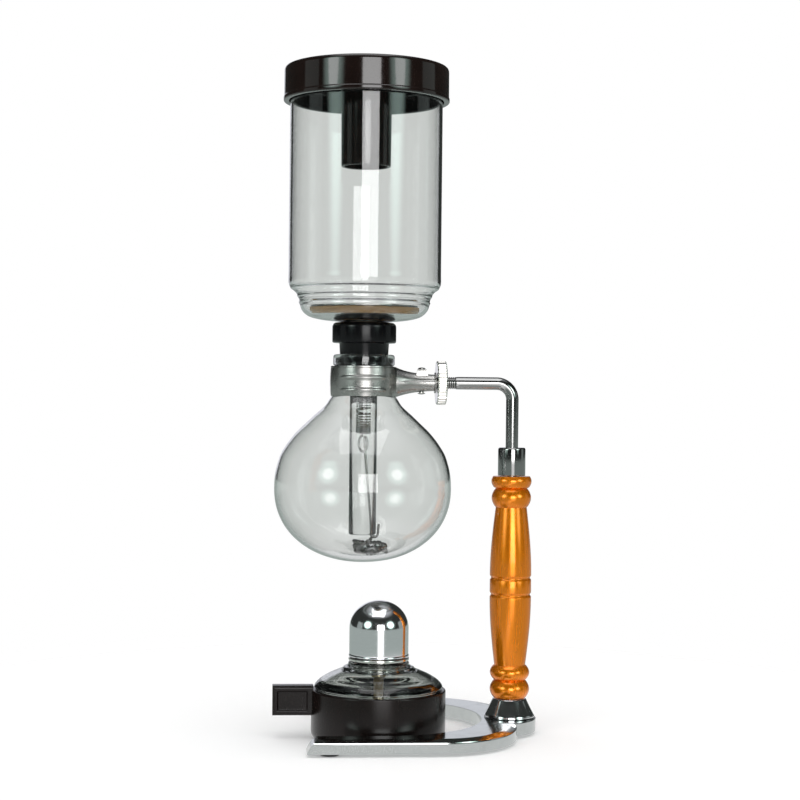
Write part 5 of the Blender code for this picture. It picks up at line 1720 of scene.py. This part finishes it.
# ---------------------------------------------------------------- floor, light and camera
@dataclass
class Studio:
    """A pale floor, soft lights and the camera."""

    eye: tuple[float, float, float] = (-0.127, -0.8922, 0.16875)
    aim: tuple[float, float, float] = (0.0785, 0.9969, 0.0)
    lens: float = 80.4
    shift: float = -0.00625
    roll: float = 0.6
    white: float = 1.0
    dim: tuple[float, float, float] = (0.030, 0.033, 0.031)
    haze: tuple[float, float, float] = (0.36, 0.41, 0.39)
    mint: tuple[float, float, float] = (1.9, 2.5, 2.3)
    through: tuple[float, float, float] = (0.71, 0.725, 0.71)
    bright: tuple[float, float, float] = (5.5, 5.5, 5.5)
    pale: tuple[float, float, float] = (0.75, 0.76, 0.82)
    faint: tuple[float, float, float] = (0.30, 0.34, 0.33)
    overhead: tuple[float, float, float] = (0.50, 0.52, 0.54)
    strip: tuple[float, float, float] = (1.6, 1.6, 1.6)
    spot: tuple[float, float, float] = (5.0, 5.3, 5.2)
    front: float = -86.5
    middle: tuple[float, float] = (-0.05, 0.0)
    burner_axis: tuple[float, float] = (-0.067, -0.014)
    spot_turns: tuple[float, ...] = (-141.0, -46.0)
    spot_height: float = 18.0
    floor_reach: float = 0.5
    lamp_size: float = 0.9
    lamp_power: float = 4.0
    lamp_place: tuple[float, float, float] = (-0.1, -0.2, 1.2)
    lamp_aim: tuple[float, float, float] = (-0.06, 0.0, 0.17)

    def towards_front(self, angle: Link) -> Link:
        """Return 1 for angles round Z that point to the front, easing to 0 on both sides."""
        return (angle + math.radians(90 - self.front)).sine().between(0.968, 0.994)

    def world(self) -> None:
        """Paint the surroundings: white to the eye, light grey through glass, dark in reflections.

        Four tall windows stand round the dark, each a step of the sine of four times the angle round
        Z and of the height: the front one bright, the back one pale and the side ones faint.  Two
        round spots with a soft glow stand beside the front one, where a direction's product with
        theirs is high.  A haze lies below the horizon, with a bright strip towards the front.
        """
        made = bpy.data.worlds.new("studio_sky")
        made.use_nodes = True
        bpy.context.scene.world = made
        tree = made.node_tree
        paint = Paint(tree)
        way = paint.node("ShaderNodeTexCoord", output="Generated")
        x, y, z = paint.split(way)
        turn = (y.angle_to(x) + math.radians(22.5 - self.front)) * 4.0
        window = turn.sine().between(0.60, 0.66) * z.between(-0.03, -0.01) * z.between(0.37, 0.33)
        soft, core = 0.0, 0.0
        for angle in self.spot_turns:
            turned, up = math.radians(angle), math.radians(self.spot_height)
            near = (x * (math.cos(turned) * math.cos(up)) + y * (math.sin(turned) * math.cos(up))
                    + z * math.sin(up))
            soft = near.between(0.955, 0.992) + soft
            core = near.between(0.9895, 0.9925) + core
        above = z.between(0.72, 0.95)
        mirror = paint.blend(soft, self.dim, self.mint)
        mirror = paint.blend(above, mirror, self.overhead)
        mirror = paint.blend(z.between(-0.005, -0.03), mirror, self.haze)
        mirror = paint.blend(self.towards_front(y.angle_to(x)) * z.between(-0.005, -0.03), mirror, self.strip)
        mirror = paint.blend(core, mirror, self.spot)
        mirror = paint.blend(window * y.between(-0.45, -0.75), mirror, self.bright)
        mirror = paint.blend(window * y.between(0.45, 0.75), mirror, self.pale)
        mirror = paint.blend(window * (1 - y.size().between(0.45, 0.75)), mirror, self.faint)
        path = paint.node("ShaderNodeLightPath", output="Is Camera Ray")
        kinds = path.socket.node.outputs
        light = paint.blend(Link(paint, kinds["Is Transmission Ray"]), (0.85, 0.85, 0.85), self.through)
        bounced = Link(paint, kinds["Glossy Depth"]).between(0.2, 0.8)
        light = paint.blend(bounced * (1 - Link(paint, kinds["Is Diffuse Ray"])), light, mirror)
        seen = paint.blend(path, light, (self.white,) * 3)
        tree.links.new(seen.socket, tree.nodes["Background"].inputs["Color"])
        made.cycles.sampling_method = "NONE"
        tree.nodes["Background"].inputs["Strength"].default_value = 1.0

    def floor(self) -> None:
        """Lay the floor: a disc that fades into the surroundings with distance."""
        a = (np.arange(96) * TAU / 96)[None]
        radius = 0.001 + self.floor_reach * np.linspace(0, 1, 40)[:, None]
        points = np.stack(np.broadcast_arrays(radius * np.cos(a), radius * np.sin(a), -0.2 * MM), -1)
        skin = grid_skin(points, wrap_columns=True)
        mesh = bpy.data.meshes.new("floor")
        mesh.from_pydata(skin.points.tolist(), [], [tuple(reversed(f)) for f in skin.faces])
        floor = bpy.data.objects.new("floor", mesh)
        bpy.context.scene.collection.objects.link(floor)
        made = bpy.data.materials.new("floor_paper")
        made.use_nodes = True
        tree = made.node_tree
        paint = Paint(tree)
        shader = tree.nodes["Principled BSDF"]
        shader.inputs["Roughness"].default_value = 0.8
        shader.inputs["Specular IOR Level"].default_value = 0.2
        shader.inputs["Base Color"].default_value = (0.9, 0.9, 0.9, 1)
        shader.inputs["Emission Color"].default_value = (1, 1, 1, 1)
        shader.inputs["Emission Strength"].default_value = 0.14
        reach = paint.around(*self.middle)[1]
        tone = reach.between(0.085, 0.20)
        glow = tree.nodes.new("ShaderNodeEmission")
        shade = paint.blend(tone, (0.78, 0.78, 0.78), self.haze)
        strip = self.towards_front(paint.around(*self.burner_axis)[0])
        shade = paint.blend(strip * tone, shade, self.strip)
        tree.links.new(shade.socket, glow.inputs["Color"])
        inner = tree.nodes.new("ShaderNodeMixShader")
        path = paint.node("ShaderNodeLightPath", output="Glossy Depth")
        bounced = path.between(0.2, 0.8)
        tree.links.new(bounced.socket, inner.inputs[0])
        tree.links.new(shader.outputs[0], inner.inputs[1])
        tree.links.new(glow.outputs[0], inner.inputs[2])
        clear = tree.nodes.new("ShaderNodeBsdfTransparent")
        mix = tree.nodes.new("ShaderNodeMixShader")
        away = reach.between(0.16, 0.40)
        tree.links.new(away.socket, mix.inputs[0])
        tree.links.new(inner.outputs[0], mix.inputs[1])
        tree.links.new(clear.outputs[0], mix.inputs[2])
        tree.links.new(mix.outputs[0], tree.nodes["Material Output"].inputs["Surface"])
        mesh.materials.append(made)

    def lamp(self) -> None:
        """Hang one large soft lamp above and in front, facing the middle of the glass."""
        data = bpy.data.lights.new("soft_top", "AREA")
        data.shape = "RECTANGLE"
        data.size = data.size_y = self.lamp_size
        data.energy = self.lamp_power
        lamp = bpy.data.objects.new("soft_top", data)
        bpy.context.scene.collection.objects.link(lamp)
        lamp.location = self.lamp_place
        way = Vector(self.lamp_aim) - Vector(self.lamp_place)
        lamp.rotation_euler = way.to_track_quat("-Z", "Y").to_euler()
        lamp.visible_camera = False

    def camera(self) -> None:
        """Set up the camera at its angle."""
        data = bpy.data.cameras.new("camera")
        data.lens, data.sensor_width = self.lens, 36.0
        data.shift_y = self.shift
        camera = bpy.data.objects.new("camera", data)
        bpy.context.scene.collection.objects.link(camera)
        turn = Vector(self.aim).to_track_quat("-Z", "Y").to_matrix().to_4x4()
        tilt = Matrix.Rotation(math.radians(self.roll), 4, "Z")
        camera.matrix_world = Matrix.Translation(self.eye) @ turn @ tilt
        bpy.context.scene.camera = camera

    def build(self) -> None:
        """Set the stage."""
        bpy.context.scene.view_settings.view_transform = "Standard"
        self.world()
        self.floor()
        self.lamp()
        self.camera()


def main() -> None:
    """Build every sub-assembly in order, and report each."""
    for part in (Stand(), Clamp(), Globe(), UpperGlass(), Filter(), Lid(), Burner()):
        log.info("%s: %d pieces", type(part).__name__, part.build())
    Studio().build()


if __name__ == "__main__":
    main()
